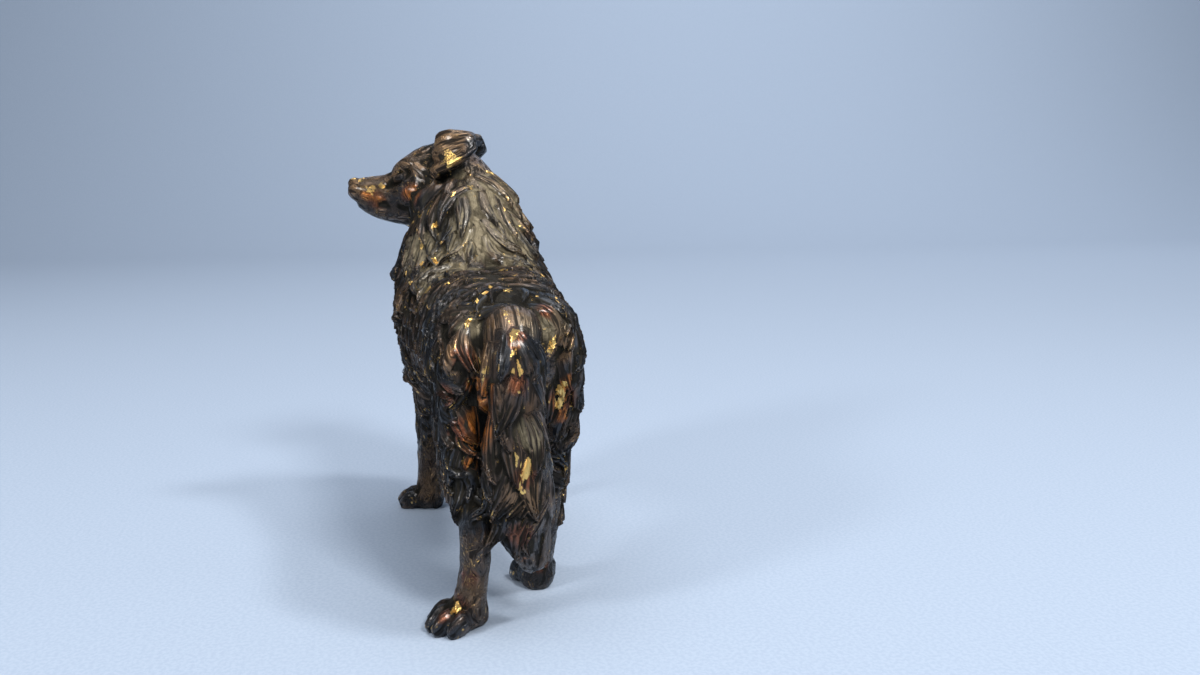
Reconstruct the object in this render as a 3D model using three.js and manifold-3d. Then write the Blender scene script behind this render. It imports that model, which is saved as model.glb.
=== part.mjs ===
// Small cast metal figure of a long-coated shepherd dog, standing with its head turned to its left.
// One casting, with no base: it stands on its four flat soles.
// Millimetres. +X is the way the trunk points, +Y the dog's left, +Z up. The origin is on the plane
// of the soles, below the middle of the figure's length and width.
import * as THREE from "three";
import { mergeVertices } from "three/addons/utils/BufferGeometryUtils.js";
import Module from "manifold-3d";

// Driving dimensions
const HEIGHT = 94; // soles to the top of the ears
const CANON = 94; // the height is divided into this many parts, as on a sculptor's scale
const PART = HEIGHT / CANON; // one part, in millimetres
const SOLE_DEPTH = 0.9; // how much is filed off the feet to make the soles flat, in parts

// Fineness of the skin
const CELL = 1.0 * PART; // edge of a grid cell
const TRIANGLES = 9400; // left after thinning
const STEPS = 4; // straight stretches between two sections of a form
const FLATTEST = 0.25; // least cosine between a triangle's facings before and after one thinning step
const LONG_COST = 1e-4; // what a long edge costs, so that flat places keep even triangles
const SHARPEST = 1e-3; // least determinant for which the best point of an edge is worked out
const SLIVER = 1e-6; // least square of a triangle's doubled area that thinning may leave

const UP = new THREE.Vector3(0, 0, 1);
const LEFT = new THREE.Vector3(0, 1, 0);

// The forms of the body. Each is a row of oval sections, in parts:
// [x, y, z, half width across, half depth through].
// "blend" is how softly a form runs into those before it, and "end" how far it bulges past its last
// section, as a share of that section. "across" is the way its width points; a form without it
// lies level, and its width is level and square to its line. A "hollow" form is scooped out.
const TRUNK = {
  end: 0.7,
  sections: [
    [-38.5, 0.3, 50.5, 9.0, 9.6],
    [-33.0, 0.5, 50.0, 12.1, 12.6],
    [-22.0, 0.0, 49.5, 12.6, 13.6],
    [-8.0, -0.2, 48.5, 13.2, 14.6],
    [6.0, 0.0, 47.2, 14.0, 16.2],
    [18.0, 0.5, 46.8, 15.0, 17.6],
    [28.0, 1.2, 46.8, 14.0, 16.8],
    [35.0, 2.0, 48.5, 9.5, 12.0],
  ],
};

// The long muscles on both sides of the spine, which make the back broad and flat
const LOIN = {
  blend: 4,
  end: 0.7,
  sections: [
    [-32, 5.0, 51.5, 7.6, 9.0],
    [-18, 5.8, 51.5, 8.6, 11.2],
    [-4, 6.2, 51.0, 9.0, 12.2],
    [12, 6.4, 50.5, 9.2, 13.2],
  ],
};

const NECK = {
  blend: 6,
  end: 0.8,
  sections: [
    [10.0, 0.0, 50.0, 14.5, 16.0],
    [15.5, 0.6, 60.0, 14.0, 15.5],
    [19.0, 1.2, 68.0, 12.9, 14.2],
    [21.5, 1.8, 75.0, 11.0, 12.0],
    [23.5, 2.6, 81.0, 8.8, 9.0],
    [24.5, 3.6, 85.0, 6.2, 6.4],
  ],
};

// The bib of long hair, from the throat down between the forelegs
const BIB = {
  blend: 5,
  end: 0.7,
  across: LEFT,
  sections: [
    [28.5, 8.2, 68.0, 6.6, 6.8],
    [31.0, 7.2, 61.0, 8.4, 7.8],
    [33.5, 4.2, 51.0, 9.6, 8.4],
    [33.5, 2.2, 42.0, 8.6, 7.6],
    [31.0, 1.0, 34.0, 6.0, 5.6],
  ],
};

const SHOULDER_LEFT = {
  blend: 5,
  end: 0.8,
  across: LEFT,
  sections: [
    [19.0, 7.8, 58.0, 5.4, 8.0],
    [22.0, 8.4, 48.0, 5.8, 8.4],
    [25.0, 8.4, 40.0, 4.5, 7.0],
  ],
};

const SHOULDER_RIGHT = {
  blend: 5,
  end: 0.8,
  across: LEFT,
  sections: [
    [16.0, -8.4, 58.0, 5.6, 8.0],
    [19.0, -9.2, 48.0, 6.0, 8.4],
    [22.0, -9.0, 40.0, 4.8, 7.0],
  ],
};

const TAIL = {
  blend: 1.6,
  end: 0.9,
  across: LEFT,
  sections: [
    [-39.0, 0.5, 56.0, 4.8, 4.0],
    [-43.6, 0.9, 55.6, 5.0, 4.6],
    [-46.4, 1.2, 50.5, 5.1, 4.5],
    [-47.2, 1.2, 43.0, 4.6, 4.0],
    [-46.6, 0.9, 36.0, 5.2, 4.3],
    [-45.8, 0.5, 28.0, 5.9, 4.6],
    [-44.2, -0.1, 20.5, 4.9, 4.0],
    [-42.6, -1.5, 14.5, 2.8, 2.7],
    [-41.8, -2.3, 11.5, 1.6, 1.5],
  ],
};

// The hair on the back of the thighs
const BREECH_LEFT = {
  blend: 2.2,
  end: 0.8,
  across: LEFT,
  sections: [
    [-35.5, 7.4, 56.0, 4.4, 4.0],
    [-37.6, 8.4, 50.5, 4.8, 4.6],
    [-37.8, 8.8, 44.0, 4.3, 4.0],
    [-38.0, 8.9, 37.0, 4.2, 4.2],
    [-39.4, 8.6, 30.0, 3.3, 3.6],
  ],
};

const BREECH_RIGHT = {
  blend: 2.2,
  end: 0.8,
  across: LEFT,
  sections: [
    [-35.0, -6.6, 56.0, 4.8, 4.0],
    [-35.6, -7.4, 50.0, 5.2, 4.6],
    [-33.6, -8.2, 42.0, 4.8, 4.4],
    [-31.4, -8.8, 34.0, 4.2, 4.0],
  ],
};

const HIND_LEFT = {
  blend: 3,
  end: 0.8,
  across: LEFT,
  sections: [
    [-29.0, 7.2, 50.0, 6.2, 11.0],
    [-29.0, 7.8, 42.0, 5.8, 10.6],
    [-31.0, 8.8, 34.0, 4.7, 8.0],
    [-36.5, 8.8, 27.0, 3.7, 5.0],
    [-42.2, 8.1, 21.5, 3.0, 3.7],
    [-43.0, 8.1, 15.0, 2.7, 3.1],
    [-41.2, 8.6, 8.0, 2.8, 3.0],
    [-40.0, 9.0, 4.5, 3.1, 3.2],
  ],
};

const HIND_RIGHT = {
  blend: 3,
  end: 0.8,
  across: LEFT,
  sections: [
    [-28.0, -6.5, 50.0, 5.7, 11.0],
    [-26.0, -7.2, 42.0, 5.4, 10.4],
    [-24.6, -8.7, 34.0, 5.0, 8.0],
    [-27.0, -8.6, 27.0, 3.9, 5.2],
    [-30.0, -7.5, 20.5, 3.0, 3.8],
    [-28.0, -7.4, 14.0, 2.8, 3.2],
    [-24.8, -7.1, 8.0, 2.9, 3.1],
    [-23.6, -6.9, 4.5, 3.0, 3.2],
  ],
};

const FORE_LEFT = {
  blend: 3.5,
  end: 0.8,
  across: LEFT,
  sections: [
    [25.0, 8.4, 44.0, 5.6, 8.6],
    [28.0, 9.2, 35.0, 4.5, 6.4],
    [30.8, 9.6, 26.0, 3.6, 4.7],
    [32.6, 9.8, 17.0, 3.1, 3.6],
    [33.6, 9.9, 9.0, 3.0, 3.2],
    [34.0, 10.2, 4.5, 3.2, 3.3],
  ],
};

const FORE_RIGHT = {
  blend: 3.5,
  end: 0.8,
  across: LEFT,
  sections: [
    [21.0, -8.4, 44.0, 6.0, 8.6],
    [23.6, -9.0, 35.0, 4.8, 6.4],
    [25.6, -9.0, 26.0, 3.7, 4.7],
    [26.8, -8.8, 17.0, 3.1, 3.6],
    [27.4, -8.6, 9.0, 3.0, 3.2],
    [27.6, -8.6, 4.5, 3.2, 3.3],
  ],
};

// Single locks on the haunches that stand out from the rest of the coat
const ALMOND = {
  blend: 0.8,
  end: 1,
  across: LEFT,
  sections: [
    [-39.6, 8.2, 57.0, 1.2, 1.0],
    [-41.4, 9.2, 53.0, 3.0, 1.7],
    [-41.8, 9.6, 49.0, 3.2, 1.8],
    [-41.0, 9.0, 45.4, 1.3, 1.1],
  ],
};
const CURL = {
  blend: 0.8,
  end: 1,
  across: LEFT,
  sections: [
    [-39.2, -3.4, 59.2, 1.3, 1.2],
    [-39.8, -6.2, 58.4, 1.7, 1.6],
    [-39.8, -7.7, 55.6, 1.9, 1.8],
    [-40.4, -6.6, 52.6, 1.7, 1.6],
    [-40.6, -5.2, 51.2, 1.0, 1.0],
  ],
};
const CURL_BELOW = {
  blend: 0.8,
  end: 1,
  across: LEFT,
  sections: [
    [-38.0, -9.4, 56.4, 1.2, 1.1],
    [-38.8, -9.4, 52.6, 2.0, 1.7],
    [-39.4, -7.6, 49.0, 2.0, 1.8],
    [-38.8, -6.2, 46.8, 1.1, 1.0],
  ],
};

// A paw is a pad behind and four toes side by side, the two middle ones longer.
// It is laid out from its ankle, pointing along +X, and turned outwards by "splay" degrees.
const PAWS = [
  { ankle: [-39.4, 9.2], splay: 112 },
  { ankle: [-23.4, -6.8], splay: 2 },
  { ankle: [34.4, 10.2], splay: 56 },
  { ankle: [27.6, -8.6], splay: -14 },
];
const PAD = {
  blend: 1.6,
  end: 0.8,
  sections: [
    [-1.4, 0, 2.9, 3.1, 2.8],
    [1.6, 0, 3.2, 4.1, 2.8],
    [4.4, 0, 2.5, 3.9, 1.9],
  ],
};
const TOE_BLEND = 0.3;
const TOE_END = 0.9;
const TOE_HALF = 1.15; // half the width of a toe, in parts
const TOE_HEIGHT = 2.0; // half its height, in parts
const TOES = [
  { side: -3.5, reach: 5.4 },
  { side: -1.2, reach: 7.2 },
  { side: 1.2, reach: 7.2 },
  { side: 3.5, reach: 5.4 },
];

// The head is laid out in its own frame: forwards, to its own left, and up from its middle.
const HEAD = { at: [25.4, 9.3, 83.4], yaw: 76 };
const SKULL = {
  blend: 2.5,
  end: 0.2,
  sections: [
    [-8.0, 0, 0.0, 6.8, 7.0],
    [-4.0, 0, -0.2, 7.9, 7.8],
    [-0.5, 0, -0.9, 7.9, 7.7],
    [2.8, 0, -2.2, 7.2, 7.0],
    [5.6, 0, -3.7, 6.2, 5.9],
    [8.4, 0, -4.3, 5.2, 4.9],
  ],
};
const MUZZLE = {
  blend: 0.7,
  end: 0.5,
  sections: [
    [7.5, 0, -3.9, 5.0, 4.6],
    [11.5, 0, -3.9, 4.4, 4.0],
    [14.6, 0, -3.6, 3.9, 3.4],
    [16.9, 0, -3.1, 3.3, 2.6],
    [17.7, 0, -2.8, 2.7, 2.0],
  ],
};
const JAW = {
  blend: 0.5,
  end: 0.6,
  sections: [
    [3.0, 0, -7.2, 5.2, 5.0],
    [6.5, 0, -7.3, 4.5, 4.0],
    [10.0, 0, -7.2, 3.7, 3.3],
    [13.2, 0, -6.7, 3.0, 2.5],
    [15.6, 0, -5.9, 2.4, 1.7],
  ],
};
const NOSE = {
  blend: 0.4,
  end: 0.7,
  sections: [
    [17.2, 0, -1.7, 1.9, 1.4],
    [18.0, 0, -1.8, 1.7, 1.2],
  ],
};
const BROW = {
  blend: 1.2,
  end: 1,
  sections: [
    [2.0, 5.4, 2.4, 1.4, 1.4],
    [4.0, 4.5, 2.9, 1.5, 1.4],
    [6.0, 2.6, 1.8, 1.2, 1.1],
  ],
};
const SOCKET = {
  blend: 1.2,
  end: 1,
  hollow: true,
  sections: [
    [8.4, 4.6, -2.0, 1.2, 1.1],
    [6.4, 5.4, -0.4, 1.7, 1.5],
    [4.2, 6.9, 0.6, 1.3, 1.1],
  ],
};
const EYE = {
  blend: 0.3,
  end: 1,
  sections: [
    [4.6, 5.3, -0.2, 1.0, 0.9],
    [6.6, 4.4, -0.6, 0.9, 0.8],
  ],
};
const CHEEK = {
  blend: 1.2,
  end: 1,
  across: UP,
  sections: [
    [1.6, 6.4, -4.0, 2.9, 1.9],
    [4.0, 5.7, -4.3, 2.6, 1.7],
  ],
};
// The hollow below the ear
const EAR_HOLLOW = {
  blend: 1.2,
  end: 1,
  hollow: true,
  sections: [
    [-4.4, 9.4, -1.4, 1.5, 1.6],
    [-7.4, 9.6, 0.2, 1.9, 1.9],
    [-10.4, 9.2, 2.4, 1.5, 1.5],
  ],
};
// The ear is laid back: a thick leaf that stands off the head and hangs open below
const EAR = {
  blend: 0.7,
  end: 0.8,
  sections: [
    [-3.4, 7.4, 5.2, 1.2, 2.6],
    [-4.8, 8.2, 5.4, 1.5, 4.3],
    [-7.2, 9.1, 6.4, 1.6, 4.3],
    [-9.6, 9.4, 7.2, 1.5, 3.1],
    [-11.6, 9.0, 7.4, 1.2, 1.9],
  ],
};
// The lower edge of the ear, thick and turned out over the hollow
const EAR_RIM = {
  blend: 1.5,
  end: 0.9,
  sections: [
    [-3.2, 8.8, 1.4, 0.9, 0.9],
    [-6.4, 10.4, 2.6, 1.2, 1.1],
    [-9.4, 10.8, 4.3, 1.2, 1.1],
    [-11.8, 10.0, 6.2, 0.9, 0.9],
  ],
};
const EAR_ROOT = {
  blend: 1.4,
  end: 0.8,
  sections: [
    [-5.2, 4.8, 7.4, 2.2, 2.0],
    [-7.8, 6.6, 8.7, 1.9, 1.7],
    [-11.0, 7.4, 8.5, 1.6, 1.5],
  ],
};

// The coat: rows of pointed locks laid over the forms, each one overlapping the next.
// "spacing" is the distance from lock to lock along and round a form, "size" the length, width and
// height of one lock, and "deepest" how far off its own flat it still counts, all in parts. "lay"
// is the way the hair runs: along the figure, outwards from its middle plane, and up. "share" is
// the part of the form's length that is covered.
const MANE = { spacing: [4.4, 3.2], size: [10, 4.3, 1.9], deepest: 4 };
const FLANK = { spacing: [5.0, 3.6], size: [9, 3.9, 1.2], deepest: 4 };
const THIGH = { spacing: [5.0, 3.4], size: [9, 3.8, 1.1], deepest: 2.5 };
const FEATHER = { spacing: [4.8, 3.0], size: [10, 3.6, 1.3], deepest: 2 };
const SHORT = { spacing: [4.6, 3.0], size: [8, 3.2, 0.8], deepest: 1.6 };
const PLUME = { spacing: [5.0, 3.0], size: [10, 3.4, 1.5], deepest: 1.6 };
const CROWN = { spacing: [3.0, 2.4], size: [5, 2.6, 0.5], deepest: 1.5 };
const COAT = [
  { ...MANE, of: "NECK", lay: [-0.4, 0.25, -1], share: [0.05, 0.88] },
  { ...MANE, of: "BIB", lay: [-0.1, 0.2, -1], share: [0, 1] },
  { ...MANE, of: "SHOULDER_LEFT", lay: [-0.5, 0, -1], share: [0, 1] },
  { ...MANE, of: "SHOULDER_RIGHT", lay: [-0.5, 0, -1], share: [0, 1] },
  { ...FLANK, of: "TRUNK", lay: [-0.6, 0.5, -0.8], share: [0.05, 1] },
  { ...FLANK, of: "LOIN", lay: [-0.7, 0.6, -0.5], share: [0, 1] },
  { ...FLANK, of: "LOIN_RIGHT", lay: [-0.7, 0.6, -0.5], share: [0, 1] },
  { ...THIGH, of: "HIND_LEFT", lay: [-0.5, 0.1, -1], share: [0, 0.5] },
  { ...THIGH, of: "HIND_RIGHT", lay: [-0.5, 0.1, -1], share: [0, 0.5] },
  { ...FEATHER, of: "BREECH_LEFT", lay: [-0.2, 0.1, -1], share: [0, 0.9] },
  { ...FEATHER, of: "BREECH_RIGHT", lay: [-0.2, 0.1, -1], share: [0, 0.9] },
  { ...SHORT, of: "FORE_LEFT", lay: [-0.4, 0, -1], share: [0, 0.55] },
  { ...SHORT, of: "FORE_RIGHT", lay: [-0.4, 0, -1], share: [0, 0.55] },
  { ...PLUME, of: "TAIL", lay: [0.08, 0.12, -1], share: [0.15, 0.7] },
  { ...CROWN, of: "SKULL", lay: [0.1, -0.6, -0.5], share: [0, 0.5] },
];
const WANDER = 0.3; // how far a lock strays from its row, as a share of the spacing
const LENGTH_SPREAD = 0.2; // how much longer or shorter than its kind a lock can be
const HEIGHT_SPREAD = 0.25; // how much higher or lower
const SWING = 0.5; // the widest a lock turns off the lay, in radians
const BEND = 0.5; // how far its middle bows to one side, as a share of its width
const GRIP = 1.4; // how far a form may lie below the surface that its locks are on, in parts
const LEAST_LAY = 0.15; // share of the lay that has to run along the surface, for a lock to lie there

// The shape of a lock: along it "u" runs from 0 at the root to 1 at the tip.
const ROOT_WIDTH = 0.7; // its width at the root, as a share of the widest
const WIDEST = 0.45; // where it is widest
const POINT = 0.8; // how blunt its point is, from 0, square, to 1, sharp
const ROOT_RISE = 0.15; // its height at the root, as a share of the highest
const HIGHEST = 0.8; // where it is highest
const TIP = 0.85; // where it starts to fall off at the tip

// The search for the place where a lock's root leaves the figure
const SEARCH_FROM = 6; // how far outside the form it starts, in parts
const SEARCH_STEPS = 40;
const SEARCH_STRIDE = 0.8; // share of the remaining distance that a step takes
const SEARCH_END = 0.01; // near enough, in parts

// Catmull-Rom value between b and c, t of the way along.
function between(a, b, c, d, t) {
  return 0.5 * (2 * b + (c - a) * t + (2 * a - 5 * b + 4 * c - d) * t * t + (3 * b - a - 3 * c + d) * t ** 3);
}

// One form as short straight stretches, each with its own frame.
function stretches(form, place) {
  const rows = form.sections.map(place);
  const fine = [];
  for (let i = 0; i < rows.length - 1; i++) {
    const around = [-1, 0, 1, 2].map((k) => rows[Math.min(Math.max(i + k, 0), rows.length - 1)]);
    for (let k = 0; k < STEPS; k++) {
      fine.push(rows[i].map((_, n) => between(...around.map((row) => row[n]), k / STEPS)));
    }
  }
  fine.push(rows.at(-1));
  return fine.slice(1).map((end, i) => {
    const from = new THREE.Vector3(...fine[i]).multiplyScalar(PART);
    const to = new THREE.Vector3(...end).multiplyScalar(PART);
    const along = to.clone().sub(from);
    const length = along.length();
    along.normalize();
    const across = form.across ? form.across.clone() : UP.clone().cross(along);
    across.addScaledVector(along, -across.dot(along)).normalize();
    const [wide, deep, wideEnd, deepEnd] = [fine[i][3], fine[i][4], end[3], end[4]].map((r) => r * PART);
    return {
      from, along, length, across, wide, deep, wideEnd, deepEnd,
      through: along.clone().cross(across),
      end: form.end,
      middle: from.clone().add(to).multiplyScalar(0.5),
      reach: length / 2 + Math.max(wide, deep, wideEnd, deepEnd),
    };
  });
}

// Distance from a point to one stretch: to its oval section, rounded off past the ends.
function toStretch(x, y, z, s) {
  const dx = x - s.from.x;
  const dy = y - s.from.y;
  const dz = z - s.from.z;
  const way = dx * s.along.x + dy * s.along.y + dz * s.along.z;
  const held = Math.min(Math.max(way, 0), s.length);
  const wide = s.wide + ((s.wideEnd - s.wide) * held) / s.length;
  const deep = s.deep + ((s.deepEnd - s.deep) * held) / s.length;
  const cap = s.end * Math.min(wide, deep);
  const p = (dx * s.across.x + dy * s.across.y + dz * s.across.z) / wide;
  const q = (dx * s.through.x + dy * s.through.y + dz * s.through.z) / deep;
  const r = (way - held) / cap;
  const near = Math.sqrt(p * p + q * q + r * r);
  const slope = Math.sqrt((p / wide) ** 2 + (q / deep) ** 2 + (r / cap) ** 2);
  return slope < 1e-9 ? -cap : (near * (near - 1)) / slope;
}

// Smooth union: two distances joined with a fillet about "blend" wide.
function join(a, b, blend) {
  const overlap = Math.max(blend - Math.abs(a - b), 0);
  return Math.min(a, b) - (overlap * overlap) / (4 * blend);
}

// Places a section of the head's own frame in the figure.
function onHead(mirror = 1) {
  const yaw = THREE.MathUtils.degToRad(HEAD.yaw);
  const [cos, sin] = [Math.cos(yaw), Math.sin(yaw)];
  return ([forward, left, up, ...radii]) => [
    HEAD.at[0] + forward * cos - mirror * left * sin,
    HEAD.at[1] + forward * sin + mirror * left * cos,
    HEAD.at[2] + up,
    ...radii,
  ];
}

// Places a section of a paw in the figure.
function onPaw({ ankle, splay }) {
  const turn = THREE.MathUtils.degToRad(splay);
  const [cos, sin] = [Math.cos(turn), Math.sin(turn)];
  return ([x, y, z, ...radii]) => [
    ankle[0] + x * cos - y * sin,
    ankle[1] + x * sin + y * cos,
    z - SOLE_DEPTH,
    ...radii,
  ];
}

const asDrawn = (section) => section;
const onOtherSide = ([x, y, ...rest]) => [x, -y, ...rest];

function toe({ side, reach }) {
  return {
    blend: TOE_BLEND,
    end: TOE_END,
    sections: [
      [2.0, side * 0.7, 3.4, TOE_HALF, TOE_HEIGHT],
      [reach - 2.2, side, 3.2, TOE_HALF * 1.1, TOE_HEIGHT * 1.15],
      [reach, side * 1.05, 1.8, TOE_HALF * 0.9, TOE_HEIGHT * 0.8],
    ],
  };
}

// Every form of the figure, in the order in which they are joined.
function allForms() {
  const made = [];
  const add = (name, form, place) => {
    const parts = stretches(form, place);
    const sphere = new THREE.Sphere().setFromPoints(parts.map((s) => s.middle));
    sphere.radius += Math.max(...parts.map((s) => s.reach));
    made.push({ name, blend: (form.blend ?? 0) * PART, hollow: form.hollow, parts, sphere });
  };
  const drawn = {
    TRUNK, NECK, BIB, SHOULDER_LEFT, SHOULDER_RIGHT, FORE_LEFT, FORE_RIGHT, HIND_LEFT, HIND_RIGHT,
    BREECH_LEFT, BREECH_RIGHT, TAIL, ALMOND, CURL, CURL_BELOW, LOIN,
  };
  for (const [name, form] of Object.entries(drawn)) add(name, form, asDrawn);
  add("LOIN_RIGHT", LOIN, onOtherSide);
  for (const [name, form] of Object.entries({ SKULL, MUZZLE, JAW, NOSE })) add(name, form, onHead());
  for (const mirror of [1, -1]) {
    const sided = { CHEEK, BROW, SOCKET, EYE, EAR_HOLLOW, EAR_ROOT, EAR, EAR_RIM };
    for (const [name, form] of Object.entries(sided)) add(name, form, onHead(mirror));
  }
  for (const paw of PAWS) {
    for (const form of [PAD, ...TOES.map(toe)]) add("PAW", form, onPaw(paw));
  }
  return made;
}

const FORMS = allForms();
const FAR = 1e3;

// Distance from a point to one form, where that is less than "limit".
function toForm(x, y, z, { parts, sphere }, limit) {
  const off = (s, centre) => (x - centre.x) ** 2 + (y - centre.y) ** 2 + (z - centre.z) ** 2 < s * s;
  let own = FAR;
  if (limit + sphere.radius < 0 || !off(limit + sphere.radius, sphere.center)) return own;
  for (const s of parts) {
    const gap = Math.min(own, limit) + s.reach;
    if (gap > 0 && off(gap, s.middle)) own = Math.min(own, toStretch(x, y, z, s));
  }
  return own;
}

// Signed distance to the bare figure, negative inside. Hollow forms are scooped out of it.
function body(x, y, z) {
  let all = toForm(x, y, z, FORMS[0], FAR);
  for (let n = 1; n < FORMS.length; n++) {
    const form = FORMS[n];
    if (form.hollow) {
      const own = toForm(x, y, z, form, form.blend - all);
      if (own < form.blend - all) all = -join(-all, own, form.blend);
    } else {
      const own = toForm(x, y, z, form, all + form.blend);
      if (own < all + form.blend) all = join(all, own, form.blend);
    }
  }
  return all;
}

// The way out of the bare figure at a point, from its distances a nudge to each side.
const NUDGE = 0.2; // in parts
function outwards(x, y, z) {
  const e = NUDGE * PART;
  return new THREE.Vector3(
    body(x + e, y, z) - body(x - e, y, z),
    body(x, y + e, z) - body(x, y - e, z),
    body(x, y, z + e) - body(x, y, z - e),
  ).normalize();
}

// A number between -1 and 1 that depends only on the two numbers given: the far decimals of a sine.
function chance(a, b) {
  const s = Math.sin(a * 12.9898 + b * 78.233) * 43758.5453;
  return 2 * (s - Math.floor(s)) - 1;
}

// What sets one lock apart from its neighbours: four chances that depend on its place in the coat.
function whims(coat, row, k) {
  return {
    stray: chance(row + 31 * coat, k),
    shift: chance(k + 57, row + 17 * coat),
    turn: chance(7 * row + coat, 3 * k),
    curl: chance(k, row),
  };
}

// Lays out all locks. A lock is rooted where a ray from a form's middle line leaves the figure,
// if the form itself reaches that far.
function allLocks() {
  const locks = [];
  COAT.forEach((coat, c) => {
    const form = FORMS.find(({ name }) => name === coat.of);
    const { parts } = form;
    const total = parts.reduce((sum, s) => sum + s.length, 0);
    const [first, last] = coat.share.map((share) => share * total);
    const [apart, beside] = coat.spacing.map((spacing) => spacing * PART);
    const rows = Math.max(Math.round((last - first) / apart), 1);
    for (let row = 0; row <= rows; row++) {
      let way = first + ((last - first) * row) / rows;
      let n = 0;
      while (n < parts.length - 1 && way > parts[n].length) way -= parts[n++].length;
      const s = parts[n];
      const around = Math.max(Math.round((Math.PI * (s.wide + s.deep)) / beside), 3);
      for (let k = 0; k < around; k++) {
        const { stray, shift, turn, curl } = whims(c, row, k);
        const angle = (2 * Math.PI * (k + (row % 2) / 2 + WANDER * stray)) / around;
        const from = s.from.clone().addScaledVector(s.along, way + WANDER * shift * apart);
        const ray = s.across.clone().multiplyScalar(Math.cos(angle));
        ray.addScaledVector(s.through, Math.sin(angle));
        let far = Math.max(s.wide, s.deep) + SEARCH_FROM * PART;
        let gap = FAR;
        for (let step = 0; step < SEARCH_STEPS && gap > SEARCH_END * PART && far > 0; step++) {
          gap = body(from.x + ray.x * far, from.y + ray.y * far, from.z + ray.z * far);
          far -= SEARCH_STRIDE * gap;
        }
        if (gap > SEARCH_END * PART) continue;
        const root = from.addScaledVector(ray, far);
        if (toForm(root.x, root.y, root.z, form, FAR) > GRIP * PART) continue;
        const normal = outwards(root.x, root.y, root.z);
        const lay = new THREE.Vector3(coat.lay[0], coat.lay[1] * Math.sign(root.y), coat.lay[2]);
        lay.addScaledVector(normal, -lay.dot(normal));
        if (lay.length() < LEAST_LAY) continue;
        lay.normalize().applyAxisAngle(normal, SWING * turn);
        const size = PART * (1 + LENGTH_SPREAD * stray);
        locks.push({
          root, normal, lay,
          side: normal.clone().cross(lay),
          length: coat.size[0] * size,
          deepest: coat.deepest * PART,
          half: (coat.size[1] / 2) * size,
          height: coat.size[2] * PART * (1 + HEIGHT_SPREAD * shift),
          bow: BEND * curl * coat.size[1] * PART,
        });
      }
    }
  });
  return locks;
}

// The locks are filed in boxes, so that only those near a point are looked at.
const LOCKS = allLocks();
const BIN = Math.max(...LOCKS.map((lock) => lock.length)) + PART;
const binOf = (x, y, z) => [x, y, z].map((v) => Math.floor(v / BIN)).join();
const BINS = new Map();
for (const lock of LOCKS) {
  const key = binOf(lock.root.x, lock.root.y, lock.root.z);
  BINS.set(key, [...(BINS.get(key) ?? []), lock]);
}
function locksNear(x, y, z) {
  const near = [];
  for (const a of [-BIN, 0, BIN]) {
    for (const b of [-BIN, 0, BIN]) {
      for (const c of [-BIN, 0, BIN]) near.push(...(BINS.get(binOf(x + a, y + b, z + c)) ?? []));
    }
  }
  return near;
}

// How high the coat stands over the bare figure at a point: the highest of the locks there.
// A lock is a leaf: it rises from its root to a proud point, and is rounded across.
function coatHeight(x, y, z, locks) {
  let best = 0;
  for (const lock of locks) {
    const [dx, dy, dz] = [x - lock.root.x, y - lock.root.y, z - lock.root.z];
    const u = (dx * lock.lay.x + dy * lock.lay.y + dz * lock.lay.z) / lock.length;
    if (u <= 0 || u >= 1) continue;
    const off = dx * lock.normal.x + dy * lock.normal.y + dz * lock.normal.z;
    if (Math.abs(off) > lock.deepest) continue;
    const taper = u < WIDEST
      ? ROOT_WIDTH + ((1 - ROOT_WIDTH) * u) / WIDEST
      : (1 - ((u - WIDEST) / (1 - WIDEST)) ** 2) ** POINT;
    const sideways = dx * lock.side.x + dy * lock.side.y + dz * lock.side.z;
    const v = (sideways - lock.bow * Math.sin(Math.PI * u)) / (lock.half * taper);
    if (Math.abs(v) >= 1) continue;
    const rise = ROOT_RISE + (1 - ROOT_RISE) * Math.min(u / HIGHEST, 1);
    const tip = u < TIP ? 1 : Math.sqrt(1 - ((u - TIP) / (1 - TIP)) ** 2);
    best = Math.max(best, lock.height * rise * tip * Math.sqrt(1 - v * v));
  }
  return best;
}

// Signed distance to the finished figure.
const THICKEST = 2 * Math.max(...LOCKS.map((lock) => lock.height));
function figure(x, y, z, locks) {
  const bare = body(x, y, z);
  return Math.abs(bare) > THICKEST ? bare : bare - coatHeight(x, y, z, locks);
}

// The box that all the forms lie in, with room for the coat and the skin.
function roomy() {
  const box = new THREE.Box3();
  for (const { parts } of FORMS) {
    for (const { middle, reach } of parts) {
      box.expandByPoint(middle.clone().addScalar(reach)).expandByPoint(middle.clone().subScalar(reach));
    }
  }
  return box.expandByScalar(THICKEST + 2 * CELL);
}

const CORNERS = [...Array(8).keys()].map((n) => [n & 1, (n >> 1) & 1, n >> 2]);
const EDGES = [];
for (let a = 0; a < 8; a++) for (const bit of [1, 2, 4]) if (!(a & bit)) EDGES.push([a, a | bit]);

// Whether the skin would touch itself in a cell whose inside corners are the bits of "mask": where
// inside and outside corners face each other crosswise, or either kind falls into separate groups.
function pinched(mask) {
  const inside = (n) => (mask >> n) & 1;
  for (const [u, w, other] of [[1, 2, 4], [1, 4, 2], [2, 4, 1]]) {
    for (const n of [0, other]) {
      const [one, two] = [inside(n), inside(n | u)];
      if (one !== two && one === inside(n | u | w) && two === inside(n | w)) return true;
    }
  }
  const group = [...Array(8).keys()];
  for (let round = 0; round < 8; round++) {
    for (const [a, b] of EDGES) {
      if (inside(a) === inside(b)) group[a] = group[b] = Math.min(group[a], group[b]);
    }
  }
  return new Set(group).size > 2;
}
const PINCHED = [...Array(256).keys()].map(pinched);

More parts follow.
